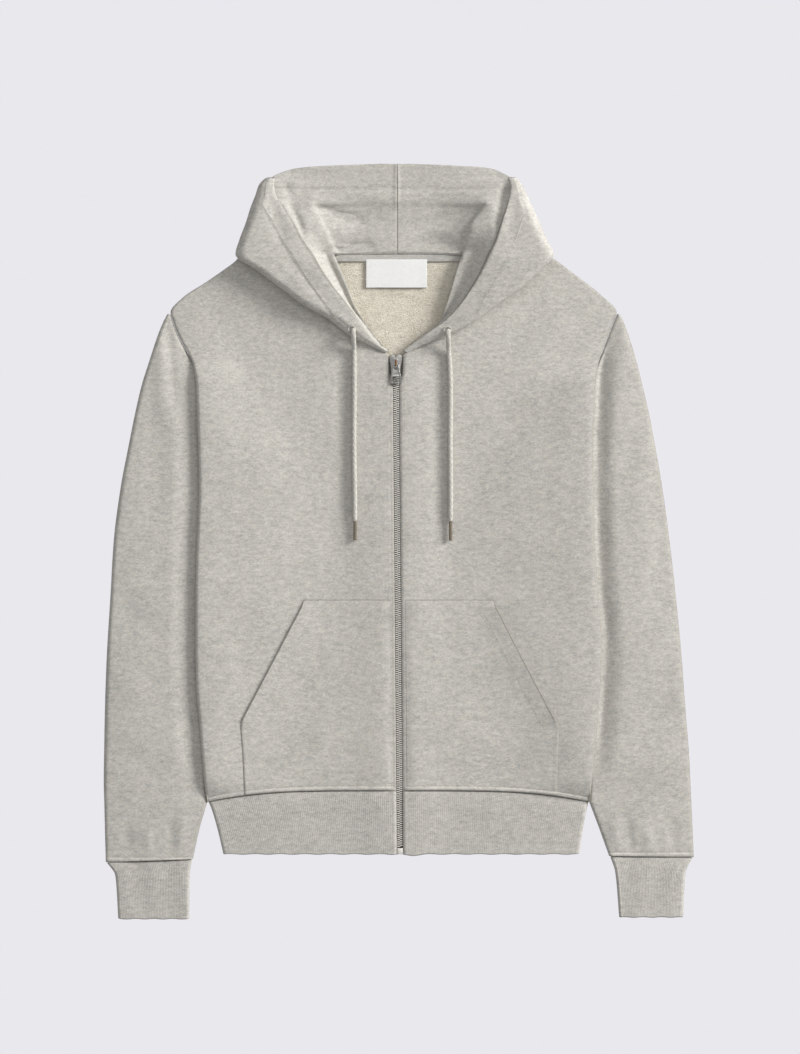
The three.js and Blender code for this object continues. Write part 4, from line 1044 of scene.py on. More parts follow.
def band_section(share):
    y = SEAM_Y + (HEM_Y - SEAM_Y) * share
    arms = {}
    for side in SIDES:
        half = SEAM_HALF + (HEM_HALF[side] - SEAM_HALF) * share**0.8
        start = SIGN[side] * float(zip_x(y)) + TEETH_ROOM
        end = half - BAND_ROUND
        near = start + np.array([0, 0.4, 0.9, 1.6])
        far = np.linspace(near[-1], end, int(BAND_ARM / RIB_PITCH) * 4 + 1)
        x = np.concatenate([near, far[1:]])
        gathered = (x - start) * (BAND_ARM / (end - start))
        strength = (1.0 - 0.4 * share) * smoothstep(2, 6, x - start)
        z = BAND_TOP + zip_rise(SIGN[side] * x, y) + rib(gathered, strength)
        puff = 0.45 * bell(share, 0.2, 0.16) + 0.3 * np.sin(x * 0.05 + 1.4 * share + 0.8)
        z = z + 0.2 + puff * smoothstep(4, 20, x - start) - 0.5 * math.exp(-((share * 55) ** 1.2))
        z = z - ZIP_EDGE_DIP * bell(x, start, ZIP_EDGE_RUN)
        round_x = half - BAND_ROUND + BAND_ROUND * np.cos(BAND_TURN)
        round_z = z[-1] / 2 * (1 + np.sin(BAND_TURN))
        line = np.concatenate([np.stack([x, z], axis=1), np.stack([round_x, round_z], axis=1)])
        line[:, 0] *= SIGN[side]
        arms[side] = line
    under = np.linspace(-(SEAM_HALF - 8) + 12 * share, (SEAM_HALF - 8) - 6 * share, 90)
    under = np.stack([under, 0 * under], axis=1)
    return np.concatenate([arms["right"], under, arms["left"][::-1]])


band_lines = np.array([band_section(share) for share in BAND_LEVELS])
band_inside = moved(band_lines, RIB_CLOTH)
for k in (0, -1):
    band_inside[:, k, 0] = band_lines[:, k, 0]


def band_place(lines):
    x = lines[..., 0]
    share = BAND_LEVELS[:, None]
    dip = 1.6 * bell(x, 14, 9) * share**6
    ragged = 0.4 * np.sin(x * 0.23) * share**8
    y = (seam_y(x) - JOIN) * (1 - share) + HEM_Y * share - dip + ragged
    return np.stack([x, y, np.maximum(lines[..., 1], 0)], axis=2)


band = wall_piece(
    "rib_waistband", band_place(band_lines), band_place(band_inside), finishes=(rib_knit,), line=0.5
)
settle(band, "waistband")

# %% [markdown]
# ## Pockets
# A kangaroo pocket is one layer stitched flat on the front along its top and side. Only its
# slanted mouth is loose, so it stands up there and throws the thin dark line. Painted shade on
# the rim darkens that line, and a painted shade line runs along the pocket's top.

# %% Pockets
POCKET = table(
    ("y", "right", "left"),
    [
        (-273.5, 168.8, 173.4), (-240, 170.6, 174.8), (-204, 173.2, 176.2), (-196, 171.2, 171.4),
        (-134, 138.6, 138.6), (-72, 106.0, 106.8), (-64.4, 104.4, 105.0),
    ],
)
POCKET_LOW, MOUTH_LOW, MOUTH_HIGH = -273.0, -206.0, -64.4
POCKET_EDGE, POCKET_EDGE_HEIGHT = 8.2, 0.5
SIDE_STITCH, MOUTH_STITCH = 3.4, 19.0  # how far the sewing lies from the pocket's edge
# painted shade on the pocket's last columns at the mouth, a share of it down the side, and on its
# top
MOUTH_PAINTED_SHADE = {"right": (0.0, 0.1, 0.6, 0.8), "left": (0.35, 0.9, 1.0, 1.0)}  # last four columns
MOUTH_SHADE_ALONG_SIDE, TOP_PAINTED_SHADE = 0.45, 0.9


def pocket_edge(side, y):
    return np.interp(y, POCKET["y"], POCKET[side])


def pocket_top(side, x, y, edge):
    """Height of the pocket's cloth: pressed down along its top and side, proud at the mouth."""
    start = SIGN[side] * zip_x(y) + POCKET_EDGE
    from_side = edge - np.abs(x)
    from_top = POCKET["y"][-1] - y
    mouth = smoothstep(MOUTH_LOW, -196, y) * (1 - smoothstep(-70, -66, y))
    pressed = 1 - (1 - smoothstep(0, 2.2, from_side)) * (1 - mouth)
    from_zip = np.abs(x) - np.abs(start)
    pressed = pressed * smoothstep(0, 2.2, from_top) * smoothstep(-0.4, 9.0, from_zip)
    low_edge = POCKET_EDGE_HEIGHT * (0.5 + 0.5 * smoothstep(0, 5, from_zip))
    full = 1.2 + 1.0 * mouth * bell(from_side, 0, 16)
    stitch = bell(from_side, SIDE_STITCH, 0.7) * (1 - mouth) + bell(from_top, 3.0, 0.7)
    stitch = stitch + 0.4 * mouth * bell(from_side, MOUTH_STITCH, 0.9)
    return low_edge + (full - low_edge) * pressed - 0.3 * stitch * pressed


for side in SIDES:
    levels = np.concatenate([
        POCKET_LOW + np.array(NEAR_SEAM), np.arange(POCKET_LOW + 10.5, MOUTH_LOW - 1, 3.5),
        np.linspace(MOUTH_LOW, -194, 9)[:-1], spaced(-194, MOUTH_HIGH, 3.4),
    ])
    across = spaced(0.0, 1.0, 0.022, fine=(0.0, 0.002, 0.006, 0.011, 0.019))
    faces_up, faces_down = [], []
    for y in levels:
        edge = float(pocket_edge(side, y))
        start = SIGN[side] * float(zip_x(y)) + POCKET_EDGE
        x = start + (edge - start) * across
        fade = 1 - smoothstep(0, 40, y - POCKET_LOW)
        place_y = y + fade * (seam_y(x) + 0.5 - POCKET_LOW)
        base = front_top(side, SIGN[side] * x, place_y)
        lift = pocket_top(side, x, y, edge) - 0.4 * (1 - smoothstep(0, 1.5, y - POCKET_LOW))
        faces_up.append(np.stack([SIGN[side] * x, place_y, base + lift], axis=1))
        faces_down.append(np.stack([SIGN[side] * x, place_y, base + 0.15 + 0 * x], axis=1))
    # painted shade along the mouth and the top
    pocket_painted_shade = np.zeros((len(levels), len(across)))
    pocket_painted_shade[:, -4:] = MOUTH_PAINTED_SHADE[side]
    at_mouth = smoothstep(-203, -196, levels)[:, None]
    pocket_painted_shade *= MOUTH_SHADE_ALONG_SIDE + (1 - MOUTH_SHADE_ALONG_SIDE) * at_mouth
    pocket_painted_shade[-2:] = np.maximum(pocket_painted_shade[-2:], TOP_PAINTED_SHADE)
    piece = wall_piece(
        f"kangaroo_pocket_{side}", np.array(faces_up), np.array(faces_down), soften=0.2,
        finishes=(fleece, terry), line=0.45, shade=pocket_painted_shade,
    )
    settle(piece, f"pocket_{side}")

# %% [markdown]
# ## Hood
# The hood lies open on the shoulders. Its outer cloth rolls up from the neck seam, over a full
# fold and down to the hemmed opening; the lining side runs from under the hem to the neck and to
# the seam in the middle of the hood. Sections from the bottom of the V to the crown corner hold
# both, one row a section.

# %% Hood tables, in millimetres
# each row: x and y of the fold, of the hem's edge and of the inner end, then three heights:
# the top of the roll, the hem, and the inner end
HOOD = {
    "right": [
        (-29.2, 213.6, -20.4, 215.4, -16.5, 214.0, 11, 10.2, 5.0),
        (-52.3, 224.4, -31.4, 226.6, -25.9, 225.5, 15, 13.2, 5.6),
        (-76.5, 243.1, -44.6, 244.2, -38.0, 242.0, 19, 16.0, 6.0),
        (-104, 258.5, -56.7, 260.7, -48.4, 259.6, 22, 18.0, 6.0),
        (-129.3, 277.2, -69.3, 276.7, -55.0, 277.2, 24, 19.0, 6.0),
        (-155.7, 297, -83.0, 296.5, -63.8, 298.1, 26, 20.0, 6.0),
        (-178.8, 314.2, -93.5, 314.6, -71.0, 315.6, 27, 20.0, 6.0),
        (-174.4, 331.1, -104.5, 330, -51.2, 316.0, 27, 20.0, 5.4),
        (-167.8, 348.7, -114.4, 348.7, -25.9, 316.4, 26, 19.0, 5.8),
        (-162.3, 366.3, -125.4, 365.2, -2.2, 316.8, 24, 18.0, 6.0),
        (-156.8, 380.6, -133.7, 379.5, -2.2, 338.8, 21, 16.0, 6.4),
        (-153.5, 390.5, -135.9, 390.5, -2.2, 358.6, 18, 14.0, 7.6),
        (-145.6, 398.8, -135.5, 399.3, -2.2, 376.2, 14, 12.0, 9.6),
        (-112.8, 409.2, -112.8, 409.2, -2.2, 391.6, 7.6, 9.9, 8.6),
        (-69.9, 412.5, -69.9, 412.5, -2.2, 403.2, 7.6, 9.9, 8.0),
        (-20.4, 414.2, -20.4, 414.2, -2.2, 414.0, 7.6, 9.9, 7.6),
    ],
    "left": [
        (23.7, 213.6, 17.0, 217.8, 11.6, 215.0, 11, 10.2, 5.0),
        (49.0, 223.3, 31.4, 228.3, 24.8, 225.4, 14, 13.2, 6.0),
        (78.7, 238.2, 52.3, 243.7, 45.1, 242.0, 17, 16.0, 7.4),
        (106.2, 257.4, 66.6, 259.5, 52.3, 259.6, 20, 18.0, 8.4),
        (131.5, 275, 78.1, 276.6, 57.8, 277.2, 22, 19.0, 9.0),
        (152.4, 293.2, 88.6, 294.6, 63.3, 296.8, 24, 20.0, 9.0),
        (169.9, 314.2, 97.9, 314.6, 70.4, 315.6, 26, 20.0, 8.4),
        (162.7, 331.1, 105.6, 330, 50.1, 316.0, 26, 20.0, 5.6),
        (155.5, 348.7, 111.7, 348.2, 23.7, 316.4, 25, 19.0, 5.8),
        (147.3, 366.3, 117.7, 365.8, -1.4, 316.8, 23, 18.0, 6.0),
        (140.8, 380.6, 121.6, 380, -1.4, 338.8, 20, 16.0, 6.4),
        (136.2, 390.5, 122.2, 390, -1.4, 358.6, 18, 14.0, 7.6),
        (128.6, 399.3, 119.5, 399.3, -1.4, 376.2, 14, 12.0, 9.6),
        (100.7, 409.2, 100.7, 409.2, -1.4, 391.6, 7.6, 9.9, 8.6),
        (56.7, 412.5, 56.7, 412.5, -1.4, 403.2, 7.6, 9.9, 8.0),
        (12.7, 414.2, 12.7, 414.2, -1.4, 414.0, 7.6, 9.9, 7.6),
    ],
}
OVER_BODY = 7  # this many sections lie on the fronts
FLAP_ROWS = 13
FLAP_LOW, HOOD_UNDER, HOOD_ROUND, HOOD_LAP = 6.2, 9.0, 11.0, 4.0
HOOD_HEM = 25.0
HOOD_FOLDS = [
    # outer flap: beside the hem on the wearer's right, and soft dents over the roll
    (-143, 378, -124, 326, 9, -2.2), (-150, 340, -112, 286, 12, -0.9),
    (-138, 320, -96, 268, 10, 0.8), (-120, 306, -70, 252, 8, -1.0),
    (-88, 262, -56, 236, 6, 0.7), (128, 372, 122, 330, 8, -1.2),
    (146, 344, 112, 286, 12, -0.9), (130, 318, 92, 266, 10, 0.8),
    (112, 296, 74, 254, 8, -0.9), (86, 258, 58, 236, 6, 0.7),
]
print("hood sections a side:", len(HOOD["right"]))


# %% Hood outer cloth
HOOD_TIP = {
    "right": (-14.6, 206.4, -10.4, 209.0, -10.0, 208.6, 9.4, 9.0, 5.0),
    "left": (9.0, 206.4, 4.9, 209.4, 4.6, 209.0, 9.4, 9.0, 5.0),
}
HEM_UP = {"right": 0.6, "left": 0.85}  # how far the hem comes up to the height of the fold


def hood_row(side, t):
    """One section of the hood; below the first row it runs down to the hem's tip at the zip."""
    rows = np.array(HOOD[side])
    index = np.arange(len(rows))
    tip = max(0.0, -t)
    values = [
        float(through(index, rows[:, k], t)) * (1 - tip) + HOOD_TIP[side][k] * tip for k in range(9)
    ]
    roll, hem, sink = values[6:]
    return {
        "fold": np.array(values[0:2]), "edge": np.array(values[2:4]),
        "inner": np.array(values[4:6]), "roll": roll,
        "hem": hem + HEM_UP[side] * max(0.0, roll - hem), "sink": sink,
        "low": FLAP_LOW * float(1 - smoothstep(OVER_BODY - 1, OVER_BODY, t)),
    }


FOLD_TURN = np.radians(np.linspace(-90, 90, 15))
TOP_SHARES = np.linspace(0, 1, 26)[1:]
FLAP_UNDER = 2 + len(FOLD_TURN) // 2  # points of a section before it turns upward


def flap_width(row):
    return float(np.linalg.norm(row["edge"] - row["fold"]))


def flap_line(row):
    width = flap_width(row)
    under = min(HOOD_UNDER, width * 0.5)
    round_top = min(HOOD_ROUND, width * 0.45)
    middle = (row["low"] + row["roll"]) / 2
    round_low = min(round_top, under * 0.7)
    line = [(under, row["low"]), ((under + round_low) / 2, row["low"])]
    for a in FOLD_TURN:
        rx = round_low if a < 0 else round_top
        rz = middle - row["low"] if a < 0 else row["roll"] - middle
        line.append((rx * (1 - math.cos(a)), middle + rz * math.sin(a)))
    for s in TOP_SHARES:
        d = round_top + (width - round_top) * s
        z = row["roll"] + (row["hem"] - row["roll"]) * s * s
        from_edge = width - d
        band = smoothstep(HOOD_HEM - 1.4, HOOD_HEM + 0.4, from_edge)
        groove, rolled = bell(from_edge, HOOD_HEM, 0.9), bell(from_edge, 0, 1.2)
        line.append((d, z + 0.35 * (1 - float(band)) - 0.45 * groove - 0.8 * rolled))
    return np.array(line)


def hood_dents(x, y):
    return folds(HOOD_FOLDS, x, y) + waves(x, y)


def along_flap(row, line):
    share = line[:, :1] / max(1e-6, flap_width(row))
    place = row["fold"] + (row["edge"] - row["fold"]) * share
    return np.concatenate([place, line[:, 1:]], axis=1)


for side in SIDES:
    last = FLAP_ROWS - 1
    steps = np.concatenate(
        [[-1, -0.97, -0.92], np.arange(-0.8, last, 0.15), [last - 0.08, last - 0.03, last]]
    )
    rows = [hood_row(side, t) for t in steps]
    lines = np.array([flap_line(row) for row in rows])
    inside = moved(lines, -CLOTH)
    outer = np.array([along_flap(row, line) for row, line in zip(rows, lines)])
    inner = np.array([along_flap(row, line) for row, line in zip(rows, inside)])
    upper = smoothstep(0.35, 0.6, np.linspace(0, 1, outer.shape[1]))[None]
    extra = hood_dents(outer[..., 0], outer[..., 1]) * upper
    outer[..., 2] += extra
    inner[..., 2] += extra
    piece = wall_piece(f"hood_flap_{side}", outer, inner, finishes=(fleece, lining_cloth))
    settle(piece, f"hood_outer_{side}")

# %% Hood lining side
LINING_FOLDS = [
    # dents under the ridge that crosses the hood's inside
    (-90, 367, -40, 350, 5, -2.6), (92, 365, 18, 343, 6, -3.2), (-72, 354, -20, 358, 8, -0.9),
    (-66, 321, -28, 325, 4.5, -2.4), (58, 330, 20, 326, 8, -1.2), (30, 350, 66, 330, 9, 0.9),
    (-58, 344, -24, 334, 8, 0.8), (0, 352, 10, 326, 12, -0.5),
    # the hollows between the hem and the side layers
    (-119, 370, -104, 334, 5.5, -3.6), (-126, 392, -116, 374, 5, -1.6),
    (121, 396, 110, 344, 6, -5.0), (104, 332, 96, 300, 5, -1.6), (-98, 320, -84, 296, 5, -1.2),
]
HOOD_SEAM_X, LINING_LOW, LINING_WALL = -1.8, 4.6, 1.6
# the side layers' folded edges: y, how far from the middle, and the height of the step
SIDE_LAYER = {
    "right": ([317.0, 345.0, 372.0], [67.4, 80.6, 94.0], 2.4),
    "left": ([315.6, 351.0, 368.0], [69.6, 79.8, 94.0], 3.4),
}


def side_layer(side, x, y):
    """The step up on to the side layer, which lies on the middle of the hood."""
    ys, xs, height = SIDE_LAYER[side]
    past_edge = np.abs(x) - np.interp(y, ys, xs)
    step = smoothstep(-0.9, 1.3, past_edge)
    back = 1 - 0.75 * smoothstep(3, 22, past_edge)
    return height * step * back * (1 - smoothstep(364, 374, y)) * smoothstep(300, 318, y)


def inner_ridge(x, y):
    """The folded edge across the hood's inside: a drop below it, and a slow slope above."""
    across = 1 - smoothstep(92, 112, np.abs(x))
    height = 1.0 + 1.8 * smoothstep(30, 84, np.abs(x))
    edge = smoothstep(367.6, 371.6, y + 0.02 * np.abs(x))
    return height * edge * (1 - 0.8 * smoothstep(373, 392, y)) * across


def lining_grid(side, drop):
    steps = np.concatenate([[0, 0.04, 0.1], np.arange(0.2, 15, 0.15), [14.9, 14.96, 15.0]])
    shares = spaced(0.0, 1.0, 0.02, fine=(0.0, 0.006, 0.014, 0.03))
    grid = []
    for t in steps:
        row = hood_row(side, t)
        out = row["edge"] - row["inner"]
        out = out / np.linalg.norm(out)
        lap = HOOD_LAP * float(1 - smoothstep(FLAP_ROWS - 1.4, FLAP_ROWS - 0.4, t))
        start = row["edge"] + out * lap
        place = start + (row["inner"] - start) * shares[:, None]
        high = row["hem"] - CLOTH - 0.2
        z = high + (row["sink"] - high) * smoothstep(0, 0.72, shares)
        grid.append(np.concatenate([place, z[:, None]], axis=1))
    grid = np.array(grid)
    x, y = grid[..., 0], grid[..., 1]
    band = 0.8 * smoothstep(386, 389, y) - 0.5 * bell(y, 387, 1.0) + 0.09 * np.maximum(0, y - 388)
    seam = 0.7 * bell(np.abs(x - HOOD_SEAM_X), 1.2, 1.6) * smoothstep(366, 372, y)
    calm = smoothstep(0.0, 0.12, shares)[None]
    layers = side_layer(side, x, y) + inner_ridge(x, y)
    grid[..., 2] += calm * (folds(LINING_FOLDS, x, y) + 0.6 * waves(x, y) + layers) + band + seam
    # the free edge beside the neck stands up a little and rolls
    proud = 3.0 * (1 - smoothstep(300, 318, y)) * smoothstep(236, 258, y)
    grid[..., 2] += proud * smoothstep(0.55, 0.93, shares)[None]
    grid[..., 2] -= 0.8 * (shares > 0.985)[None] * (proud > 0)
    # the halves meet in the middle seam, and the end over the neck tape laps it a little
    middle = np.abs(grid[:, -1, 0]) < 2.5
    grid[middle, -1, 0] = HOOD_SEAM_X - SIGN[side] * 0.1
    grid[..., 2] = np.maximum(grid[..., 2], LINING_LOW) - drop
    neck = (np.abs(grid[:, -1, 1] - 316.4) < 1.0) & (np.abs(grid[:, -1, 0]) < 71)
    grid[neck, -1, 1] -= 1.6
    return grid


for side in SIDES:
    piece = wall_piece(
        f"hood_inside_{side}", lining_grid(side, 0.0), lining_grid(side, LINING_WALL),
        finishes=(lining_cloth,), line=0.35,
    )
    settle(piece, f"hood_lining_{side}")
    refinish(f"hood_layers_{side}", lining_cloth)

# %% [markdown]
# ## Zip
# The teeth are small metal blocks, clamped on the tape in two rows and set between each other.
# One tooth is modelled and repeated down the chain. The edges of the tapes meet below it, dark
# as painted shade between the teeth.


# %% Repeated small pieces
def many(name, template, faces, places, finish):
    """Copies of a small shape, each with its own origin and axes, joined into one mesh."""
    template = np.array(template, dtype=float)
    count = len(template)
    points, every = [], []
    for k, (origin, axes) in enumerate(places):
        points.append(origin + template @ axes)
        every.extend([tuple(i + k * count for i in face) for face in faces])
    mesh = bpy.data.meshes.new(name)
    mesh.from_pydata((np.concatenate(points) * MM).tolist(), [], every)
    mesh.materials.append(finish)
    piece = new_piece(name, mesh)
    turn_outward()
    print(name, len(places), "copies,", len(every), "faces")
    return piece


def box_template(half, taper):
    """A block whose top and bottom are drawn in, which gives it a worn edge."""
    hx, hy, hz = half
    rings = [(-hz, taper), (-hz * 0.55, 1.0), (hz * 0.55, 1.0), (hz, taper)]
    corners = ((-1, -1), (1, -1), (1, 1), (-1, 1))
    points = [(sx * hx * k, sy * hy * k, z) for z, k in rings for sx, sy in corners]
    faces = [(3, 2, 1, 0), (12, 13, 14, 15)]
    for r in range(3):
        for s in range(4):
            n = (s + 1) % 4
            faces.append((4 * r + s, 4 * r + n, 4 * r + 4 + n, 4 * r + 4 + s))
    return points, faces


# %% Zip teeth
TOOTH_PITCH = 2.4
TOOTH_Z = 5.5
CHAIN_LOW, CHAIN_HIGH = -336.6, 191.5
# one tooth from above: a broad root on the tape, and a narrow head that meets the other row
TOOTH_OUTLINE = [
    (-3.1, -0.64), (-1.1, -0.64), (0.5, -0.24), (0.5, 0.24), (-1.1, 0.64), (-3.1, 0.64),
]
tooth, tooth_faces = [], [tuple(range(5, -1, -1)), tuple(range(18, 24))]
for z, inset in ((-1.25, 0.85), (-0.7, 1.0), (0.7, 1.0), (1.25, 0.72)):
    tooth.extend([(-1.3 + (x + 1.3) * inset, y * inset, z) for x, y in TOOTH_OUTLINE])
for ring in range(3):
    for k in range(6):
        n = (k + 1) % 6
        tooth_faces.append((6 * ring + k, 6 * ring + n, 6 * ring + 6 + n, 6 * ring + 6 + k))
places = []
for k in range(int((CHAIN_HIGH - CHAIN_LOW - 2) / TOOTH_PITCH)):
    for sign, shift in ((1, 0.0), (-1, TOOTH_PITCH / 2)):
        y = CHAIN_LOW + 1.2 + k * TOOTH_PITCH + shift
        places.append((np.array([float(zip_x(y)), y, TOOTH_Z]), np.diag([sign, sign, 1.0])))
settle(many("zip_teeth", tooth, tooth_faces, places, zip_metal), "zip_chain")
# the tapes' edges meet below the teeth, dark as painted shade, so nothing pale shows between them
TAPE_EDGE_HALF, TAPE_EDGE_TOP, TAPE_EDGE_WALL = 5.2, 4.45, 0.5
down_chain = np.linspace(CHAIN_LOW, CHAIN_HIGH, 60)
edge_y, across = np.meshgrid(down_chain, np.linspace(-1, 1, 5), indexing="ij")
edge_x, edge_z = zip_x(edge_y) + TAPE_EDGE_HALF * across, 0 * edge_y + TAPE_EDGE_TOP
edge_grid = np.stack([edge_x, edge_y, edge_z], axis=2)
edge_below = edge_grid - np.array([0, 0, TAPE_EDGE_WALL])
meeting = wall_piece("zip_tape_edges", edge_grid, edge_below, finishes=(zip_tape_painted_shade,))
settle(meeting, None)

# %% [markdown]
# The slider, its tab and the bottom box are castings. A copy of each solid gets its edges
# rounded, which is what lets small metal catch the light. The tab has a raised bar above its
# window, and the slider's bridge is worn down to the copper.


# %% Slider, tab and bottom box
def rounded(node, name, width, finish, body):
    """A copy of a solid with its faces merged and its edges rounded."""
    piece = new_piece(name, frame["nodes"][node].data.copy())
    piece.data.materials.clear()
    piece.data.materials.append(finish)
    bpy.ops.object.mode_set(mode="EDIT")
    bpy.ops.mesh.select_all(action="SELECT")
    bpy.ops.mesh.remove_doubles(threshold=0.000002)
    bpy.ops.mesh.dissolve_limited(angle_limit=0.02)
    bpy.ops.object.mode_set(mode="OBJECT")
    bevel = piece.modifiers.new("rounding", "BEVEL")
    bevel.width = width * MM
    bevel.segments = 2
    bevel.limit_method = "ANGLE"
    bpy.ops.object.modifier_apply(modifier="rounding")
    bpy.ops.object.shade_smooth_by_angle(angle=math.radians(35))
    settle(piece, node, body)
    print(name, len(piece.data.polygons), "faces")


rounded("zip_slider", "slider_casting", 0.35, slider_metal, "garment")
rounded("pull_tab", "pull_tab_casting", 0.3, slider_metal, "pull_tab")
rounded("zip_stop", "bottom_box", 0.4, zip_metal, "garment")
SLIDER_Y, BRIDGE_TOP, TAB_TOP = 194.0, 10.9, 9.7
SMALL_BLOCKS = [
    # name, half sizes, taper, y, height, finish, body
    ("worn_bridge", (0.95, 3.6, 0.16), 0.8, SLIDER_Y + 1.6, BRIDGE_TOP, copper, "garment"),
    ("tab_bar", (3.4, 0.55, 0.3), 0.75, SLIDER_Y - 12.0, TAB_TOP, zip_metal, "pull_tab"),
]
for name, half, taper, y, z, finish, body in SMALL_BLOCKS:
    place = (np.array([zip_x(SLIDER_Y), y, z]), np.eye(3))
    settle(many(name, *box_template(half, taper), [place], finish), None, body)
for side in SIDES:
    refinish(f"zip_tape_{side}", zip_tape_painted_shade)

# %% [markdown]
# ## Neck tape, label and eyelets
# A narrow tape covers the seam inside the neck, with a blank woven label on it. The cords come
# out through eyelets worked in thread round a hole.

# %% Neck tape and label
TAPE = {"x": (-77, 74), "y": (307.0, 316.6), "z": 4.0}
LABEL = {"x": (-35.8, 31.4), "y": (278.3, 309.6), "z": 4.4}


def flat_cloth(name, place, bow, thickness, finish, step):
    xs = spaced(*place["x"], step, fine=(0, 0.3, 0.8, 1.6))
    ys = spaced(*place["y"], step, fine=(0, 0.3, 0.8, 1.6))
    x, y = np.meshgrid(xs, ys)
    from_edge = np.minimum.reduce([x - xs[0], xs[-1] - x, y - ys[0], ys[-1] - y])
    z = place["z"] + bow * np.sin((x - xs[0]) / (xs[-1] - xs[0]) * np.pi)
    z = z - 0.15 * bell(from_edge, 0, 0.6) + 0.06 * bell(from_edge, 1.1, 0.35)
    z = z + 0.1 * waves(3 * x, 3 * y)
    grid = np.stack([x, y, z], axis=2)
    return wall_piece(name, grid, grid - np.array([0, 0, thickness]), finishes=(finish,), line=0.25)


tape = flat_cloth("neck_tape_strip", TAPE, 0.1, 0.7, tape_cloth, 1.6)
label = flat_cloth("blank_label", LABEL, 0.35, 0.35, label_satin, 1.4)
settle(tape, "neck_tape")
settle(label, "label")

# %% Eyelets
EYELET = {"right": (1.42, 11.0), "left": (1.46, 9.0)}
EYELET_HOLE, EYELET_RADIUS, EYELET_RISE = 3.0, 4.5, 1.1
THREADS = 30


def flap_place(side, t, along):
    row = hood_row(side, t)
    line = flap_line(row)
    top = line[FLAP_UNDER:]
    return along_flap(row, np.array([[along, np.interp(along, top[:, 0], top[:, 1])]]))[0]


for side in SIDES:
    t, along = EYELET[side]
    middle = flap_place(side, t, along)
    across = flap_place(side, t, along + 3) - flap_place(side, t, along - 1)
    up = flap_place(side, t + 0.2, along) - flap_place(side, t - 0.2, along)
    normal = np.cross(across, up)
    normal = normal / np.linalg.norm(normal) * (1 if normal[2] > 0 else -1)
    across = across / np.linalg.norm(across)
    other = np.cross(normal, across)
    turn = np.linspace(0, 2 * np.pi, THREADS * 6, endpoint=False)
    tube = 0.55 + 0.1 * np.cos(THREADS * turn)
    spoke = across[None] * np.cos(turn)[:, None] + other[None] * np.sin(turn)[:, None]
    rings = []
    for a in np.radians(np.linspace(0, 360, 14, endpoint=False)):
        radius = (EYELET_HOLE + EYELET_RADIUS) / 2 + 1.35 * tube * math.cos(a)
        proud = EYELET_RISE + tube * math.sin(a)
        rings.append(middle + spoke * radius[:, None] + normal[None] * proud[:, None])
    rings.append(rings[0])
    piece = grid_mesh(f"worked_eyelet_{side}", np.array(rings), fleece, cap=False)
    turn_outward(merge=0.00001)
    settle(piece, f"eyelet_{side}")

# %% [markdown]
# ## Sewing
# Every seam that shows is sewn with a row or a pair of rows of short stitches. One stitch is a
# small rounded bar, set along lines that are read off the cloth's own heights.

# %% Stitches
STITCH, STITCH_GAP, STITCH_SINK = 2.5, 0.7, 0.05
ZIP_STITCH, PAIR_GAP = 9.6, 2.4  # from the middle of the zip, and between two rows of a pair
stitch, stitch_faces = box_template((STITCH / 2, 0.28, 0.22), 0.6)


def stitch_places(line):
    points, run = resampled(line, STITCH + STITCH_GAP)
    found = []
    for a, b in zip(points[:-1], points[1:]):
        along = (b - a) / max(1e-6, np.linalg.norm(b - a))
        across = np.cross((0, 0, 1.0), along)
        across /= max(1e-6, np.linalg.norm(across))
        middle = (a + b) / 2 - np.array([0, 0, STITCH_SINK])
        found.append((middle, np.array([along, across, np.cross(along, across)])))
    return found


def on_front(side, xs, ys, extra=0.0):
    xs = SIGN[side] * xs
    return [(x, y, float(front_top(side, x, y)) + extra) for x, y in zip(xs, ys)]


def on_pocket(side, xs, ys):
    places = []
    for x, y, edge in zip(xs, ys, pocket_edge(side, ys)):
        base = front_top(side, SIGN[side] * x, y)
        places.append((SIGN[side] * x, y, float(base + pocket_top(side, x, y, edge))))
    return places


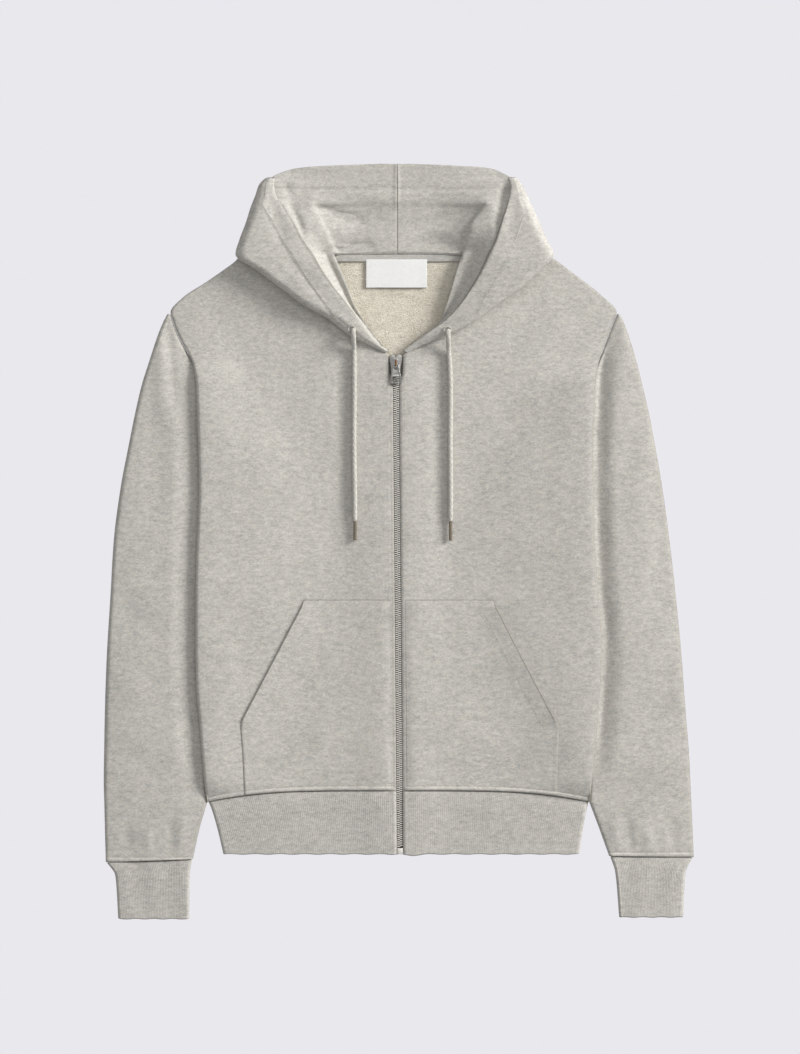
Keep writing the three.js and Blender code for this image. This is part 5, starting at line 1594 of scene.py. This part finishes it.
rows = []
for side in SIDES:
    s = SIGN[side]
    ys = np.linspace(-264, 168, 90)
    rows.append(on_front(side, s * zip_x(ys) + ZIP_STITCH, ys))
    xs = np.linspace(14, 200, 60)
    for out in (STRIP + 0.4, 1.6):
        rows.append(on_front(side, xs, seam_y(xs) + out, 0.05))
    ys = np.linspace(-262, -208, 20)
    rows.append(on_pocket(side, pocket_edge(side, ys) - SIDE_STITCH, ys))
    ys = np.linspace(-202, -70, 40)
    for inset in (MOUTH_STITCH, MOUTH_STITCH - PAIR_GAP):
        rows.append(on_pocket(side, pocket_edge(side, ys) - inset, ys))
    xs = np.linspace(s * float(zip_x(-67)) + POCKET_EDGE + 1.5, 103, 36)
    rows.append(on_pocket(side, xs, np.full(36, MOUTH_HIGH - 3.0)))
    for t_range, inset in (((0.9, 11.6), HOOD_HEM), ((1.6, 11.6), HOOD_HEM - PAIR_GAP)):
        line = []
        for t in np.linspace(*t_range, 90):
            width = flap_width(hood_row(side, t))
            if width > inset + 6:
                place = flap_place(side, t, width - inset)
                place[2] += float(hood_dents(place[0], place[1])) + 0.15
                line.append(tuple(place))
        rows.append(line)
stitch_list = [place for line in rows if len(line) > 3 for place in stitch_places(line)]
settle(many("stitches", stitch, stitch_faces, stitch_list, fleece), None)

# %% [markdown]
# ## Sheets
# Every cloth piece is cut flat before it is sewn, and its cut is said here.

# %% Sheets and their flat sizes, in metres
SHEETS = [
    # piece, width, length, share of that rectangle, how it lies, on what
    ("back_panel", 0.50, 0.60, 0.90, "laid", ["table_top"]),
    ("front_panel_right", 0.25, 0.59, 0.80, "laid", ["back_panel"]),
    ("front_panel_left", 0.25, 0.59, 0.80, "laid", ["back_panel"]),
    ("sleeve_tube_right", 0.30, 0.60, 0.75, "folded", ["table_top"]),
    ("sleeve_tube_left", 0.30, 0.60, 0.75, "folded", ["table_top"]),
    ("rib_cuff_right", 0.18, 0.065, 0.95, "folded", ["table_top"]),
    ("rib_cuff_left", 0.17, 0.067, 0.95, "folded", ["table_top"]),
    ("rib_waistband", 0.82, 0.07, 0.97, "folded", ["table_top"]),
    ("kangaroo_pocket_right", 0.165, 0.21, 0.82, "laid", ["front_panel_right"]),
    ("kangaroo_pocket_left", 0.165, 0.21, 0.82, "laid", ["front_panel_left"]),
    ("hood_flap_right", 0.115, 0.23, 0.55, "folded", ["front_panel_right"]),
    ("hood_flap_left", 0.105, 0.23, 0.52, "folded", ["front_panel_left"]),
    ("hood_inside_right", 0.14, 0.20, 0.6, "laid", ["hood_layers_right"]),
    ("hood_inside_left", 0.13, 0.20, 0.6, "laid", ["hood_layers_left"]),
]
for name, width, length, share, held, rests_on in SHEETS:
    cloth = bpy.data.objects[name]
    half = sum(face.area for face in cloth.data.polygons) / 2
